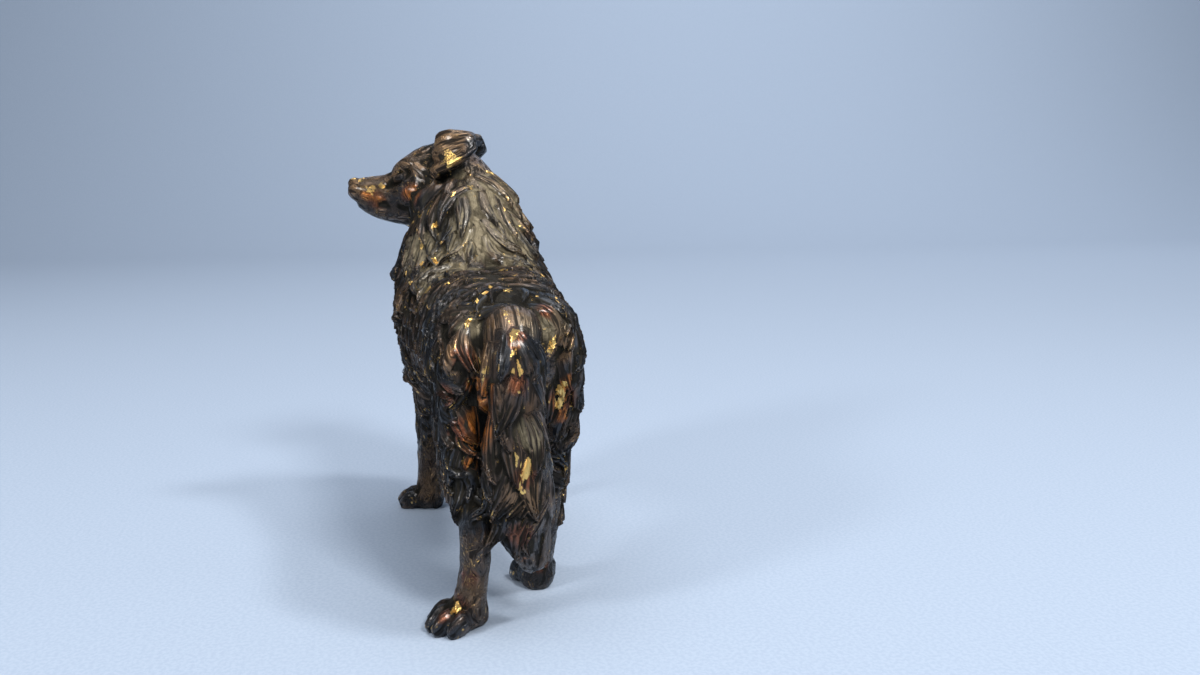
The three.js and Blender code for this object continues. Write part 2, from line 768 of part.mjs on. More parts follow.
// Fills such cells corner by corner until none is left.
const FILLED = -0.1 * CELL; // the distance given to a filled corner
function settle(value, [nx, ny, nz]) {
  const hops = CORNERS.map(([a, b, c]) => a + b * nx + c * nx * ny);
  for (let changed = true; changed; ) {
    changed = false;
    for (let here = 0; here < value.length - hops[7]; here++) {
      const maskOf = () => hops.reduce((mask, hop, n) => mask | ((value[here + hop] < 0) << n), 0);
      for (let mask = maskOf(); PINCHED[mask]; mask = maskOf()) {
        const outside = hops.filter((hop) => value[here + hop] >= 0).map((hop) => here + hop);
        value[outside.reduce((low, at) => (value[at] < value[low] ? at : low))] = FILLED;
        changed = true;
      }
    }
  }
}

// Skins the figure by surface nets: one vertex in each grid cell that the surface crosses, one
// quad round each grid edge that crosses it. Blocks of cells well clear of the surface are skipped.
const BLOCK = 4;
function skin() {
  const box = roomy();
  const size = box.getSize(new THREE.Vector3());
  const [nx, ny, nz] = [size.x, size.y, size.z].map((s) => BLOCK * Math.ceil(s / CELL / BLOCK) + BLOCK);
  const at = (i, j, k) => (k * ny + j) * nx + i;
  const value = new Float64Array(nx * ny * nz);
  const clear = (BLOCK * CELL * Math.sqrt(3)) / 2 + THICKEST + CELL;
  for (let bk = 0; bk < nz; bk += BLOCK) {
    for (let bj = 0; bj < ny; bj += BLOCK) {
      for (let bi = 0; bi < nx; bi += BLOCK) {
        const middle = [bi, bj, bk].map((b) => (b + (BLOCK - 1) / 2) * CELL);
        const centre = [box.min.x + middle[0], box.min.y + middle[1], box.min.z + middle[2]];
        const rough = body(...centre);
        const locks = Math.abs(rough) > clear ? null : locksNear(...centre);
        for (let k = bk; k < bk + BLOCK; k++) {
          for (let j = bj; j < bj + BLOCK; j++) {
            for (let i = bi; i < bi + BLOCK; i++) {
              value[at(i, j, k)] = locks
                ? figure(box.min.x + i * CELL, box.min.y + j * CELL, box.min.z + k * CELL, locks)
                : rough;
            }
          }
        }
      }
    }
  }
  settle(value, [nx, ny, nz]);
  const vertexOf = new Int32Array(nx * ny * nz).fill(-1);
  const points = [];
  for (let k = 0; k < nz - 1; k++) {
    for (let j = 0; j < ny - 1; j++) {
      for (let i = 0; i < nx - 1; i++) {
        const v = CORNERS.map(([a, b, c]) => value[at(i + a, j + b, k + c)]);
        const crossed = EDGES.filter(([a, b]) => v[a] < 0 !== v[b] < 0);
        if (!crossed.length) continue;
        const sum = [0, 0, 0];
        for (const [a, b] of crossed) {
          const share = v[a] / (v[a] - v[b]);
          for (let n = 0; n < 3; n++) sum[n] += CORNERS[a][n] + (CORNERS[b][n] - CORNERS[a][n]) * share;
        }
        vertexOf[at(i, j, k)] = points.length;
        const [x, y, z] = sum.map((s) => s / crossed.length);
        points.push([box.min.x + (i + x) * CELL, box.min.y + (j + y) * CELL, box.min.z + (k + z) * CELL]);
      }
    }
  }
  const steps = [1, nx, nx * ny];
  const faces = [];
  for (let k = 1; k < nz - 1; k++) {
    for (let j = 1; j < ny - 1; j++) {
      for (let i = 1; i < nx - 1; i++) {
        const here = at(i, j, k);
        for (let n = 0; n < 3; n++) {
          const inside = value[here] < 0;
          if (inside === value[here + steps[n]] < 0) continue;
          const [u, w] = [steps[(n + 1) % 3], steps[(n + 2) % 3]];
          const quad = [here - u - w, here - w, here, here - u].map((q) => vertexOf[q]);
          if (!inside) quad.reverse();
          faces.push([quad[0], quad[1], quad[2]], [quad[0], quad[2], quad[3]]);
        }
      }
    }
  }
  return { points, faces };
}

const minus = (a, b) => [a[0] - b[0], a[1] - b[1], a[2] - b[2]];
const cross = (a, b) => [a[1] * b[2] - a[2] * b[1], a[2] * b[0] - a[0] * b[2], a[0] * b[1] - a[1] * b[0]];
const dot = (a, b) => a[0] * b[0] + a[1] * b[1] + a[2] * b[2];

// How far a point is from the planes gathered in a vertex, squared and summed.
function misfit(q, [x, y, z]) {
  return (
    q[0] * x * x + q[4] * y * y + q[7] * z * z + 2 * (q[1] * x * y + q[2] * x * z + q[5] * y * z) +
    2 * (q[3] * x + q[6] * y + q[8] * z) + q[9]
  );
}

// Thins the skin to "target" triangles: the edge whose loss shows least is drawn together to a
// point, over and over. An edge stays where its loss would fold or pinch the skin.
function thin(points, faces, target) {
  const planes = points.map(() => new Float64Array(10));
  const around = points.map(() => new Set());
  faces.forEach((face, f) => {
    const [a, b, c] = face.map((v) => points[v]);
    const normal = cross(minus(b, a), minus(c, a));
    const twice = Math.sqrt(dot(normal, normal)) || 1e-12;
    const [p, q, r] = normal.map((n) => n / twice);
    const s = -dot([p, q, r], a);
    const plane = [p * p, p * q, p * r, p * s, q * q, q * r, q * s, r * r, r * s, s * s];
    for (const v of face) {
      around[v].add(f);
      plane.forEach((value, n) => (planes[v][n] += value * twice));
    }
  });
  const version = new Int32Array(points.length);
  const heap = [];
  const lift = (entry) => {
    let n = heap.push(entry) - 1;
    while (n > 0 && heap[(n - 1) >> 1].cost > heap[n].cost) {
      const up = (n - 1) >> 1;
      [heap[up], heap[n]] = [heap[n], heap[up]];
      n = up;
    }
  };
  const take = () => {
    const top = heap[0];
    const last = heap.pop();
    if (heap.length) {
      heap[0] = last;
      for (let n = 0; ; ) {
        let low = n;
        for (const child of [2 * n + 1, 2 * n + 2]) {
          if (child < heap.length && heap[child].cost < heap[low].cost) low = child;
        }
        if (low === n) break;
        [heap[low], heap[n]] = [heap[n], heap[low]];
        n = low;
      }
    }
    return top;
  };
  const weigh = (a, b) => {
    const q = planes[a].map((value, n) => value + planes[b][n]);
    const [p, r] = [points[a], points[b]];
    const spots = [p, r, [(p[0] + r[0]) / 2, (p[1] + r[1]) / 2, (p[2] + r[2]) / 2]];
    const gap = minus(p, r);
    const long = dot(gap, gap);
    const sides = [[q[0], q[1], q[2]], [q[1], q[4], q[5]], [q[2], q[5], q[7]]];
    const det = dot(sides[0], cross(sides[1], sides[2]));
    if (Math.abs(det) > SHARPEST) {
      const wanted = [-q[3], -q[6], -q[8]];
      const best = [0, 1, 2].map((n) => {
        const [one, two, three] = sides.map((side, k) => (k === n ? wanted : side));
        return dot(one, cross(two, three)) / det;
      });
      const off = minus(best, spots[2]);
      if (dot(off, off) < long) spots.push(best);
    }
    let choice = null;
    for (const spot of spots) {
      const cost = Math.max(misfit(q, spot), 0) + LONG_COST * long;
      if (!choice || cost < choice.cost) choice = { cost, spot };
    }
    lift({ ...choice, a, b, stamp: version[a] + version[b] });
  };
  const neighbours = (v) => {
    const ring = new Set();
    for (const f of around[v]) for (const w of faces[f]) if (w !== v) ring.add(w);
    return ring;
  };
  const folds = (v, other, spot) => {
    for (const f of around[v]) {
      const face = faces[f];
      if (face.includes(other)) continue;
      const old = face.map((w) => points[w]);
      const next = face.map((w) => (w === v ? spot : points[w]));
      const before = cross(minus(old[1], old[0]), minus(old[2], old[0]));
      const after = cross(minus(next[1], next[0]), minus(next[2], next[0]));
      const sizes = Math.sqrt(dot(before, before) * dot(after, after));
      if (dot(before, after) < FLATTEST * sizes || dot(after, after) < SLIVER) return true;
    }
    return false;
  };
  points.forEach((_, a) => neighbours(a).forEach((b) => a < b && weigh(a, b)));
  let left = faces.length;
  while (left > target && heap.length) {
    const { a, b, spot, stamp } = take();
    if (version[a] < 0 || version[b] < 0 || stamp !== version[a] + version[b]) continue;
    const [ringA, ringB] = [neighbours(a), neighbours(b)];
    if (!ringA.has(b)) continue;
    const shared = [...ringA].filter((v) => ringB.has(v));
    if (shared.length !== 2 || folds(a, b, spot) || folds(b, a, spot)) continue;
    points[a] = spot;
    planes[b].forEach((value, n) => (planes[a][n] += value));
    for (const f of around[b]) {
      if (faces[f].includes(a)) {
        for (const v of faces[f]) around[v].delete(f);
        faces[f] = null;
        left--;
      } else {
        faces[f] = faces[f].map((v) => (v === b ? a : v));
        around[a].add(f);
      }
    }
    around[b].clear();
    version[b] = -1;
    version[a]++;
    for (const v of neighbours(a)) weigh(Math.min(a, v), Math.max(a, v));
  }
  const kept = new Map();
  const lean = faces.filter(Boolean).map((face) =>
    face.map((v) => {
      if (!kept.has(v)) kept.set(v, kept.size);
      return kept.get(v);
    }),
  );
  return { points: [...kept.keys()].map((v) => points[v]), faces: lean };
}

const wasm = await Module();
wasm.setup();

function solidOf(points, faces) {
  return new wasm.Manifold(
    new wasm.Mesh({
      numProp: 3,
      vertProperties: new Float32Array(points.flat()),
      triVerts: new Uint32Array(faces.flat()),
    }),
  );
}

// A block below the floor, to file the soles flat with.
function belowFloor() {
  const box = roomy();
  const size = box.getSize(new THREE.Vector3()).addScalar(10 * PART);
  const block = new THREE.BoxGeometry(size.x, size.y, size.z);
  block.translate((box.min.x + box.max.x) / 2, (box.min.y + box.max.y) / 2, -size.z / 2);
  block.deleteAttribute("normal");
  block.deleteAttribute("uv");
  const merged = mergeVertices(block);
  return solidOf(Array.from(merged.attributes.position.array), Array.from(merged.index.array));
}

const skinned = skin();
const thinned = thin(skinned.points, skinned.faces, TRIANGLES);
const solid = solidOf(thinned.points, thinned.faces).subtract(belowFloor());

function geometryOf(manifold) {
  const mesh = manifold.getMesh();
  return new THREE.BufferGeometry()
    .setAttribute("position", new THREE.BufferAttribute(mesh.vertProperties, 3))
    .setIndex(new THREE.BufferAttribute(mesh.triVerts, 1));
}

// Moves a shape so that the origin lies below its middle.
function centred(geometry) {
  geometry.computeBoundingBox();
  const middle = geometry.boundingBox.getCenter(new THREE.Vector3());
  return geometry.translate(-middle.x, -middle.y, 0);
}

const bronze = new THREE.MeshStandardMaterial({ color: 0x3a2a1e, roughness: 0.45, metalness: 0.8 });

const dog = new THREE.Group();
const casting = new THREE.Mesh(centred(geometryOf(solid)), bronze);
casting.name = "dog_figure";
dog.add(casting);

export default dog;
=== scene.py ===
"""The looks of a small cast metal figure of a long-coated shepherd dog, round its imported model.

The whole surface is one field worked out with arrays: the distance to a row of oval forms that are
joined with fillets, and on them a coat of pointed locks that are combed into strands. The forms are
measured in parts, of which the figure is TALL high, and are brought to the frame's size and place.
"""
from concurrent.futures import ThreadPoolExecutor

import bpy
import numpy as np
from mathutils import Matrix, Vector


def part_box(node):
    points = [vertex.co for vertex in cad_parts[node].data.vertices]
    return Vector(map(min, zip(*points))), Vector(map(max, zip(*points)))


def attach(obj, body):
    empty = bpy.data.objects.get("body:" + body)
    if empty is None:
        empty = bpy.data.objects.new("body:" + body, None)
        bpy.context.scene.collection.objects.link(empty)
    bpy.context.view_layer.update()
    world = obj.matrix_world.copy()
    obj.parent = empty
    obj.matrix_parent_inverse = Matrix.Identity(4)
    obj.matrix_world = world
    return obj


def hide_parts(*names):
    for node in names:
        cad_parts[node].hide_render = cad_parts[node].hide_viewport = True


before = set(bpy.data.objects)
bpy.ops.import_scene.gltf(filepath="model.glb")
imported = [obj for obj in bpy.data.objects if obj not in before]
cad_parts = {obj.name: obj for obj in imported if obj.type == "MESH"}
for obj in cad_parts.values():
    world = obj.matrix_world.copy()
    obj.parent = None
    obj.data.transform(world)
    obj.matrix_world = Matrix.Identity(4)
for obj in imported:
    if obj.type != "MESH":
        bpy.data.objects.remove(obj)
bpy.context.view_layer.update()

TALL = 93.78  # soles to the top of the ears, in parts
MIDDLE = (-3.43, 4.75)  # where the middle of the figure's length and width lies, in parts
SOLE_DEPTH = 0.9  # how much is filed off the feet to make the soles flat, in parts
CELL = 0.25  # edge of a grid cell of the skin, in parts
TRIANGLES = 196000  # left after thinning
STEPS = 4  # straight stretches between two sections of a form
UP = (0, 0, 1)
LEFT = (0, 1, 0)

LOW, HIGH = (np.array(corner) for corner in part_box("dog_figure"))
PART = (HIGH[2] - LOW[2]) / TALL  # one part, in metres

# The forms of the body. Each is a row of oval sections, in parts:
# [x, y, z, half width across, half depth through].
# "blend" is how softly a form runs into the others, and "end" how far it bulges past its last
# section, as a share of that section. "across" is the way its width points; a form without it
# has its width level and square to its line. A "hollow" form is scooped out.
TRUNK = {"blend": 5, "end": 0.7, "sections": [
    [-38.5, 0.3, 50.5, 9, 9.6],
    [-33, 0.5, 50, 12.1, 12.6],
    [-22, 0, 49.5, 12.6, 13.6],
    [-8, -0.2, 48.5, 13.2, 14.6],
    [6, 0, 47.2, 14, 16.2],
    [18, 0.5, 46.8, 15, 17.6],
    [28, 1.2, 46.8, 14, 16.8],
    [35, 2, 48.5, 9.5, 12],
]}

# The long muscles on both sides of the spine, which make the back broad and flat
LOIN = {"blend": 4, "end": 0.7, "sections": [
    [-32, 5, 51.5, 7.6, 9],
    [-18, 5.8, 51.5, 8.6, 11.2],
    [-4, 6.2, 51, 9, 12.2],
    [12, 6.4, 50.5, 9.2, 13.2],
]}

NECK = {"blend": 6, "end": 0.8, "sections": [
    [10, 0, 50, 14.5, 16],
    [15.5, 0.6, 60, 14, 15.5],
    [19, 1.2, 68, 12.9, 14.2],
    [21.5, 1.8, 75, 11, 12],
    [23.5, 2.6, 81, 8.8, 9],
    [24.5, 3.6, 85, 6.2, 6.4],
]}

# The bib of long hair, from the throat down between the forelegs
BIB = {"blend": 5, "end": 0.7, "across": LEFT, "sections": [
    [28.5, 8.2, 68, 6.6, 6.8],
    [31, 7.2, 61, 8.4, 7.8],
    [33.5, 4.2, 51, 9.6, 8.4],
    [33.5, 2.2, 42, 8.6, 7.6],
    [31, 1, 34, 6, 5.6],
]}

SHOULDER_LEFT = {"blend": 5, "end": 0.8, "across": LEFT, "sections": [
    [19, 7.8, 58, 5.4, 8],
    [22, 8.4, 48, 5.8, 8.4],
    [25, 8.4, 40, 4.5, 7],
]}

SHOULDER_RIGHT = {"blend": 5, "end": 0.8, "across": LEFT, "sections": [
    [16, -8.4, 58, 5.6, 8],
    [19, -9.2, 48, 6, 8.4],
    [22, -9, 40, 4.8, 7],
]}

TAIL = {"blend": 1.6, "end": 0.9, "across": LEFT, "sections": [
    [-39, 0.5, 56, 4.8, 4],
    [-43.6, 0.9, 55.6, 5, 4.6],
    [-46.4, 1.2, 50.5, 5.1, 4.5],
    [-47.2, 1.2, 43, 4.6, 4],
    [-46.6, 0.9, 36, 5.2, 4.3],
    [-45.8, 0.5, 28, 5.9, 4.6],
    [-44.2, -0.1, 20.5, 4.9, 4],
    [-42.6, -1.5, 14.5, 2.8, 2.7],
    [-41.8, -2.3, 11.5, 1.6, 1.5],
]}

# The hair on the back of the thighs
BREECH_LEFT = {"blend": 2.2, "end": 0.8, "across": LEFT, "sections": [
    [-35.5, 7.4, 56, 4.4, 4],
    [-37.6, 8.4, 50.5, 4.8, 4.6],
    [-37.8, 8.8, 44, 4.3, 4],
    [-38, 8.9, 37, 4.2, 4.2],
    [-39.4, 8.6, 30, 3.3, 3.6],
]}

BREECH_RIGHT = {"blend": 2.2, "end": 0.8, "across": LEFT, "sections": [
    [-35, -6.6, 56, 4.8, 4],
    [-35.6, -7.4, 50, 5.2, 4.6],
    [-33.6, -8.2, 42, 4.8, 4.4],
    [-31.4, -8.8, 34, 4.2, 4],
]}

HIND_LEFT = {"blend": 3, "end": 0.8, "across": LEFT, "sections": [
    [-29, 7.2, 50, 6.2, 11],
    [-29, 7.8, 42, 5.8, 10.6],
    [-31, 8.8, 34, 4.7, 8],
    [-36.5, 8.8, 27, 3.7, 5],
    [-42.2, 8.1, 21.5, 3, 3.7],
    [-43, 8.1, 15, 2.7, 3.1],
    [-41.2, 8.6, 8, 2.8, 3],
    [-40, 9, 4.5, 3.1, 3.2],
]}

HIND_RIGHT = {"blend": 3, "end": 0.8, "across": LEFT, "sections": [
    [-28, -6.5, 50, 5.7, 11],
    [-26, -7.2, 42, 5.4, 10.4],
    [-24.6, -8.7, 34, 5, 8],
    [-27, -8.6, 27, 3.9, 5.2],
    [-30, -7.5, 20.5, 3, 3.8],
    [-28, -7.4, 14, 2.8, 3.2],
    [-24.8, -7.1, 8, 2.9, 3.1],
    [-23.6, -6.9, 4.5, 3, 3.2],
]}

FORE_LEFT = {"blend": 3.5, "end": 0.8, "across": LEFT, "sections": [
    [25, 8.4, 44, 5.6, 8.6],
    [28, 9.2, 35, 4.5, 6.4],
    [30.8, 9.6, 26, 3.6, 4.7],
    [32.6, 9.8, 17, 3.1, 3.6],
    [33.6, 9.9, 9, 3, 3.2],
    [34, 10.2, 4.5, 3.2, 3.3],
]}

FORE_RIGHT = {"blend": 3.5, "end": 0.8, "across": LEFT, "sections": [
    [21, -8.4, 44, 6, 8.6],
    [23.6, -9, 35, 4.8, 6.4],
    [25.6, -9, 26, 3.7, 4.7],
    [26.8, -8.8, 17, 3.1, 3.6],
    [27.4, -8.6, 9, 3, 3.2],
    [27.6, -8.6, 4.5, 3.2, 3.3],
]}

# Single locks on the haunches that stand out from the rest of the coat
ALMOND = {"blend": 0.8, "end": 1, "across": LEFT, "sections": [
    [-39.6, 8.2, 57, 1.2, 1],
    [-41.4, 9.2, 53, 3, 1.7],
    [-41.8, 9.6, 49, 3.2, 1.8],
    [-41, 9, 45.4, 1.3, 1.1],
]}
CURL = {"blend": 0.8, "end": 1, "across": LEFT, "sections": [
    [-39.2, -3.4, 59.2, 1.3, 1.2],
    [-39.8, -6.2, 58.4, 1.7, 1.6],
    [-39.8, -7.7, 55.6, 1.9, 1.8],
    [-40.4, -6.6, 52.6, 1.7, 1.6],
    [-40.6, -5.2, 51.2, 1, 1],
]}
CURL_BELOW = {"blend": 0.8, "end": 1, "across": LEFT, "sections": [
    [-38, -9.4, 56.4, 1.2, 1.1],
    [-38.8, -9.4, 52.6, 2, 1.7],
    [-39.4, -7.6, 49, 2, 1.8],
    [-38.8, -6.2, 46.8, 1.1, 1],
]}

# A paw is a pad behind and four toes side by side, the two middle ones longer.
# It is laid out from its ankle, pointing along +X, and turned outwards by "splay" degrees.
PAWS = [
    {"ankle": [-39.4, 9.2], "splay": 112},
    {"ankle": [-23.4, -6.8], "splay": 2},
    {"ankle": [34.4, 10.2], "splay": 56},
    {"ankle": [27.6, -8.6], "splay": -14},
]
PAD = {"blend": 1.6, "end": 0.8, "sections": [
    [-1.4, 0, 2.9, 3.1, 2.8],
    [1.6, 0, 3.2, 4.1, 2.8],
    [4.4, 0, 2.5, 3.9, 1.9],
]}
TOE_BLEND = 0.2
TOE_END = 0.9
TOE_HALF = 1.15  # half the width of a toe, in parts
TOE_HEIGHT = 2.0  # half its height, in parts
TOES = [
    {"side": -3.5, "reach": 5.4},
    {"side": -1.2, "reach": 7.2},
    {"side": 1.2, "reach": 7.2},
    {"side": 3.5, "reach": 5.4},
]

# The head is laid out in its own frame: forwards, to its own left, and up from its middle, which
# is "at" a place in the figure and turned to the left by so many "degrees".
HEAD = {"at": [25.4, 9.3, 83.4], "degrees": 76}
SKULL = {"blend": 2.5, "end": 0.2, "sections": [
    [-8, 0, 0, 6.8, 7],
    [-4, 0, -0.2, 7.9, 7.8],
    [-0.5, 0, -0.9, 7.9, 7.7],
    [2.8, 0, -2.2, 7.2, 7],
    [5.6, 0, -3.7, 6.2, 5.9],
    [8.4, 0, -4.3, 5.2, 4.9],
]}
MUZZLE = {"blend": 0.7, "end": 0.5, "sections": [
    [7.5, 0, -3.9, 5, 4.6],
    [11.5, 0, -3.9, 4.4, 4],
    [14.6, 0, -3.6, 3.9, 3.4],
    [16.9, 0, -3.1, 3.3, 2.6],
    [17.7, 0, -2.8, 2.7, 2],
]}
JAW = {"blend": 0.5, "end": 0.6, "sections": [
    [3, 0, -7.2, 5.2, 5],
    [6.5, 0, -7.3, 4.5, 4],
    [10, 0, -7.2, 3.7, 3.3],
    [13.2, 0, -6.7, 3, 2.5],
    [15.6, 0, -5.9, 2.4, 1.7],
]}
NOSE = {"blend": 0.4, "end": 0.7, "sections": [
    [17.2, 0, -1.7, 1.9, 1.4],
    [18, 0, -1.8, 1.7, 1.2],
]}
BROW = {"blend": 1.2, "end": 1, "sections": [
    [2, 5.4, 2.4, 1.4, 1.4],
    [4, 4.5, 2.9, 1.5, 1.4],
    [6, 2.6, 1.8, 1.2, 1.1],
]}
SOCKET = {"blend": 1.2, "end": 1, "hollow": True, "sections": [
    [8.4, 4.6, -2, 1.2, 1.1],
    [6.4, 5.4, -0.4, 1.7, 1.5],
    [4.2, 6.9, 0.6, 1.3, 1.1],
]}
EYE = {"blend": 0.3, "end": 1, "sections": [
    [4.6, 5.3, -0.2, 1, 0.9],
    [6.6, 4.4, -0.6, 0.9, 0.8],
]}
CHEEK = {"blend": 1.2, "end": 1, "across": UP, "sections": [
    [1.6, 6.4, -4, 2.9, 1.9],
    [4, 5.7, -4.3, 2.6, 1.7],
]}
# The hollow below the ear
EAR_HOLLOW = {"blend": 0.8, "end": 1, "hollow": True, "sections": [
    [-4.4, 9.4, -1.4, 1.5, 1.6],
    [-7.4, 9.6, 0.2, 1.9, 1.9],
    [-10.4, 9.2, 2.4, 1.5, 1.5],
]}
# The ear is laid back: a thick leaf that stands off the head and hangs open below
EAR = {"blend": 0.7, "end": 0.8, "sections": [
    [-3.4, 7.4, 5.2, 1.2, 2.6],
    [-4.8, 8.2, 5.4, 1.5, 4.3],
    [-7.2, 9.1, 6.4, 1.6, 4.3],
    [-9.6, 9.4, 7.2, 1.5, 3.1],
    [-11.6, 9, 7.4, 1.2, 1.9],
]}
# The lower edge of the ear, thick and turned out over the hollow
EAR_RIM = {"blend": 1.5, "end": 0.9, "sections": [
    [-3.2, 8.8, 1.4, 0.9, 0.9],
    [-6.4, 10.4, 2.6, 1.2, 1.1],
    [-9.4, 10.8, 4.3, 1.2, 1.1],
    [-11.8, 10, 6.2, 0.9, 0.9],
]}
EAR_ROOT = {"blend": 1.4, "end": 0.8, "sections": [
    [-5.2, 4.8, 7.4, 2.2, 2],
    [-7.8, 6.6, 8.7, 1.9, 1.7],
    [-11, 7.4, 8.5, 1.6, 1.5],
]}

# Finer hollows of the head: the slit in the ear, the mouth and the nostrils
EAR_SLIT = {"blend": 0.3, "end": 1, "hollow": True, "sections": [
    [-7.6, 11.2, 8.2, 0.5, 0.7],
    [-9.4, 11.4, 8.6, 0.7, 0.9],
    [-11.4, 11, 8.8, 0.4, 0.5],
]}
MOUTH = {"blend": 0.3, "end": 1, "hollow": True, "sections": [
    [16.6, 2.6, -5.4, 0.35, 0.3],
    [13.6, 3.7, -6.2, 0.45, 0.35],
    [10, 4.7, -6.9, 0.45, 0.35],
    [7.4, 5.3, -6.7, 0.3, 0.3],
]}
NOSTRIL = {"blend": 0.2, "end": 1, "hollow": True, "sections": [
    [18.9, 0.9, -2, 0.35, 0.4],
    [18.2, 1.5, -1.9, 0.35, 0.4],
]}

# The coat: rows of pointed locks laid over the forms, each one overlapping the next.
# "spacing" is the distance from lock to lock along and round a form, "size" the length, width and
# height of one lock, and "deepest" how far off its own flat it still counts, all in parts. Each
# kind of coat lies on the forms that it is "of". "lay" is the way the hair runs: along the figure,
# outwards from its middle plane, and up. "share" is the part of the form's length that is covered.
MANE = {"spacing": [4.4, 3.0], "size": [12.5, 3.8, 2.6], "deepest": 4}
FLANK = {"spacing": [4.2, 2.4], "size": [8.5, 2.7, 1.3], "deepest": 4}
THIGH = {"spacing": [5.0, 3.4], "size": [9.5, 3.8, 1.2], "deepest": 2.5}
FEATHER = {"spacing": [5.0, 3.0], "size": [11, 3.6, 1.5], "deepest": 2}
SHORT = {"spacing": [3.8, 2.2], "size": [6.5, 2.4, 0.7], "deepest": 1.6}
PLUME = {"spacing": [5.4, 3.5], "size": [12, 4.4, 1.5], "deepest": 1.6}
CROWN = {"spacing": [2.4, 1.7], "size": [5, 1.8, 0.45], "deepest": 1.5}
FACE = {"spacing": [2.2, 1.5], "size": [3.2, 1.3, 0.16], "deepest": 1.2}
SHANK = {"spacing": [2.8, 1.8], "size": [5, 1.8, 0.32], "deepest": 1.2}
COATS = [
    {**MANE, "of": ["NECK"], "lay": [-0.3, 0.45, -1], "share": [0.05, 0.88]},
    {**MANE, "of": ["BIB"], "lay": [-0.1, 0.2, -1], "share": [0, 1]},
    {**MANE, "of": ["SHOULDER_LEFT", "SHOULDER_RIGHT"], "lay": [-0.5, 0, -1], "share": [0, 1]},
    {**FLANK, "of": ["TRUNK"], "lay": [-0.6, 0.5, -0.8], "share": [0.05, 1]},
    {**FLANK, "of": ["LOIN", "LOIN_RIGHT"], "lay": [-0.7, 0.6, -0.5], "share": [0, 1]},
    {**THIGH, "of": ["HIND_LEFT", "HIND_RIGHT"], "lay": [-0.5, 0.1, -1], "share": [0, 0.5]},
    {**FEATHER, "of": ["BREECH_LEFT", "BREECH_RIGHT"], "lay": [-0.2, 0.1, -1], "share": [0, 0.9]},
    {**SHORT, "of": ["FORE_LEFT", "FORE_RIGHT"], "lay": [-0.4, 0, -1], "share": [0, 0.55]},
    {**PLUME, "of": ["TAIL"], "lay": [0.08, 0.12, -1], "share": [0.03, 0.7]},
    {**CROWN, "of": ["SKULL"], "lay": [0.1, -0.6, -0.5], "share": [0, 0.7]},
    {**FACE, "of": ["MUZZLE"], "lay": [-0.3, -1, -0.2], "share": [0, 0.8]},
    {**SHANK, "of": ["HIND_LEFT", "HIND_RIGHT"], "lay": [0, 0, -1], "share": [0.5, 1]},
    {**SHANK, "of": ["FORE_LEFT", "FORE_RIGHT"], "lay": [0, 0, -1], "share": [0.55, 1]},
]
COAT = [{**coat, "of": name} for coat in COATS for name in coat["of"]]
WANDER = 0.3  # how far a lock strays from its row, as a share of the spacing
LENGTH_SPREAD = 0.2  # how much longer and wider, or shorter and narrower, than its kind it can be
HEIGHT_SPREAD = 0.25  # how much higher or lower
SWING = 0.5  # the widest a lock turns off the lay, in radians
BEND = 0.5  # how far its middle bows to one side, as a share of its width
FLICK = 0.9  # how far its tip turns to one side, as a share of its width
GRIP = 1.4  # how far a form may lie below the surface that its locks are on, in parts
LEAST_LAY = 0.15  # share of the lay that has to run along the surface, for a lock to lie there

# The shape of a lock: along it u runs from 0 at the root to 1 at the tip.
ROOT_WIDTH = 0.7  # its width at the root, as a share of the widest
WIDEST = 0.45  # where it is widest
POINT = 0.7  # how it narrows to its tip, from 0, not at all, to 1, evenly to a sharp point
ROOT_RISE = 0.15  # its height at the root, as a share of the highest
HIGHEST = 0.8  # where it is highest
TIP = 0.85  # where it starts to fall off at the tip
NARROWEST = 1e-3  # its width at the very tip, as a share of the widest

STRAND = 1.05  # width of one strand of hair, in parts
STRAND_WAVE = 0.9  # how far a strand weaves from side to side, as a share of its width
STRAND_DEPTH = 0.8  # depth of the grooves between strands, in parts
DEEPEST_CUT = 0.7  # the deepest groove, as a share of the lock's height
COMB_CELL = 4.0  # edge of the cells in which points are combed together, in parts
DRAWN_OUT = 9.0  # how many times longer than wide the finest hair is
PATTERN_STEP = 9  # how far each lock's fine hair lies into the pattern, as a factor of its phase

# The search for a lock's root comes in from outside, along the ray
SEARCH_FROM = 6  # how far outside the form it starts, in parts
SEARCH_STEPS = 40
SEARCH_STRIDE = 0.8  # share of the remaining distance that a step takes
SEARCH_END = 0.01  # near enough, in parts
NUDGE = 0.2  # how far to either side of a point the distance is taken for a slope, in parts

FAR = 1e3  # farther off than anything, in parts
TINY = 1e-9  # the least that is divided by
BLOCK = 12  # grid cells along the edge of a block that is worked out in one go
MARGIN = 2  # grid cells that are left free round the figure
BELOW = 2.5  # how far below the soles the grid starts, in cells, so that no cell corner is on them
BATCHES = 40  # in how many goes the blocks are sorted, to save memory
HALF_DIAGONAL = 0.87  # half the diagonal of a cube, as a share of its edge, rounded up
STEEPEST = 1.3  # the most that the distance to an oval changes, per part moved
CLEAR = 1.2  # the same for the distance to the whole figure


def catmull_rom(rows):
    """Sections between the drawn ones, on a Catmull-Rom curve through them, STEPS to each gap."""
    rows = np.array(rows, float)
    padded = np.vstack([rows[:1], rows, rows[-1:]])
    a, b, c, d = (padded[i : i + len(rows) - 1, None] for i in range(4))
    t = (np.arange(STEPS) / STEPS)[None, :, None]
    curve = 2 * b + (c - a) * t + (2 * a - 5 * b + 4 * c - d) * t**2 + (3 * b - a - 3 * c + d) * t**3
    return np.vstack([(0.5 * curve).reshape(-1, rows.shape[1]), rows[-1:]])


def unit(vectors):
    return vectors / np.linalg.norm(vectors, axis=-1, keepdims=True)


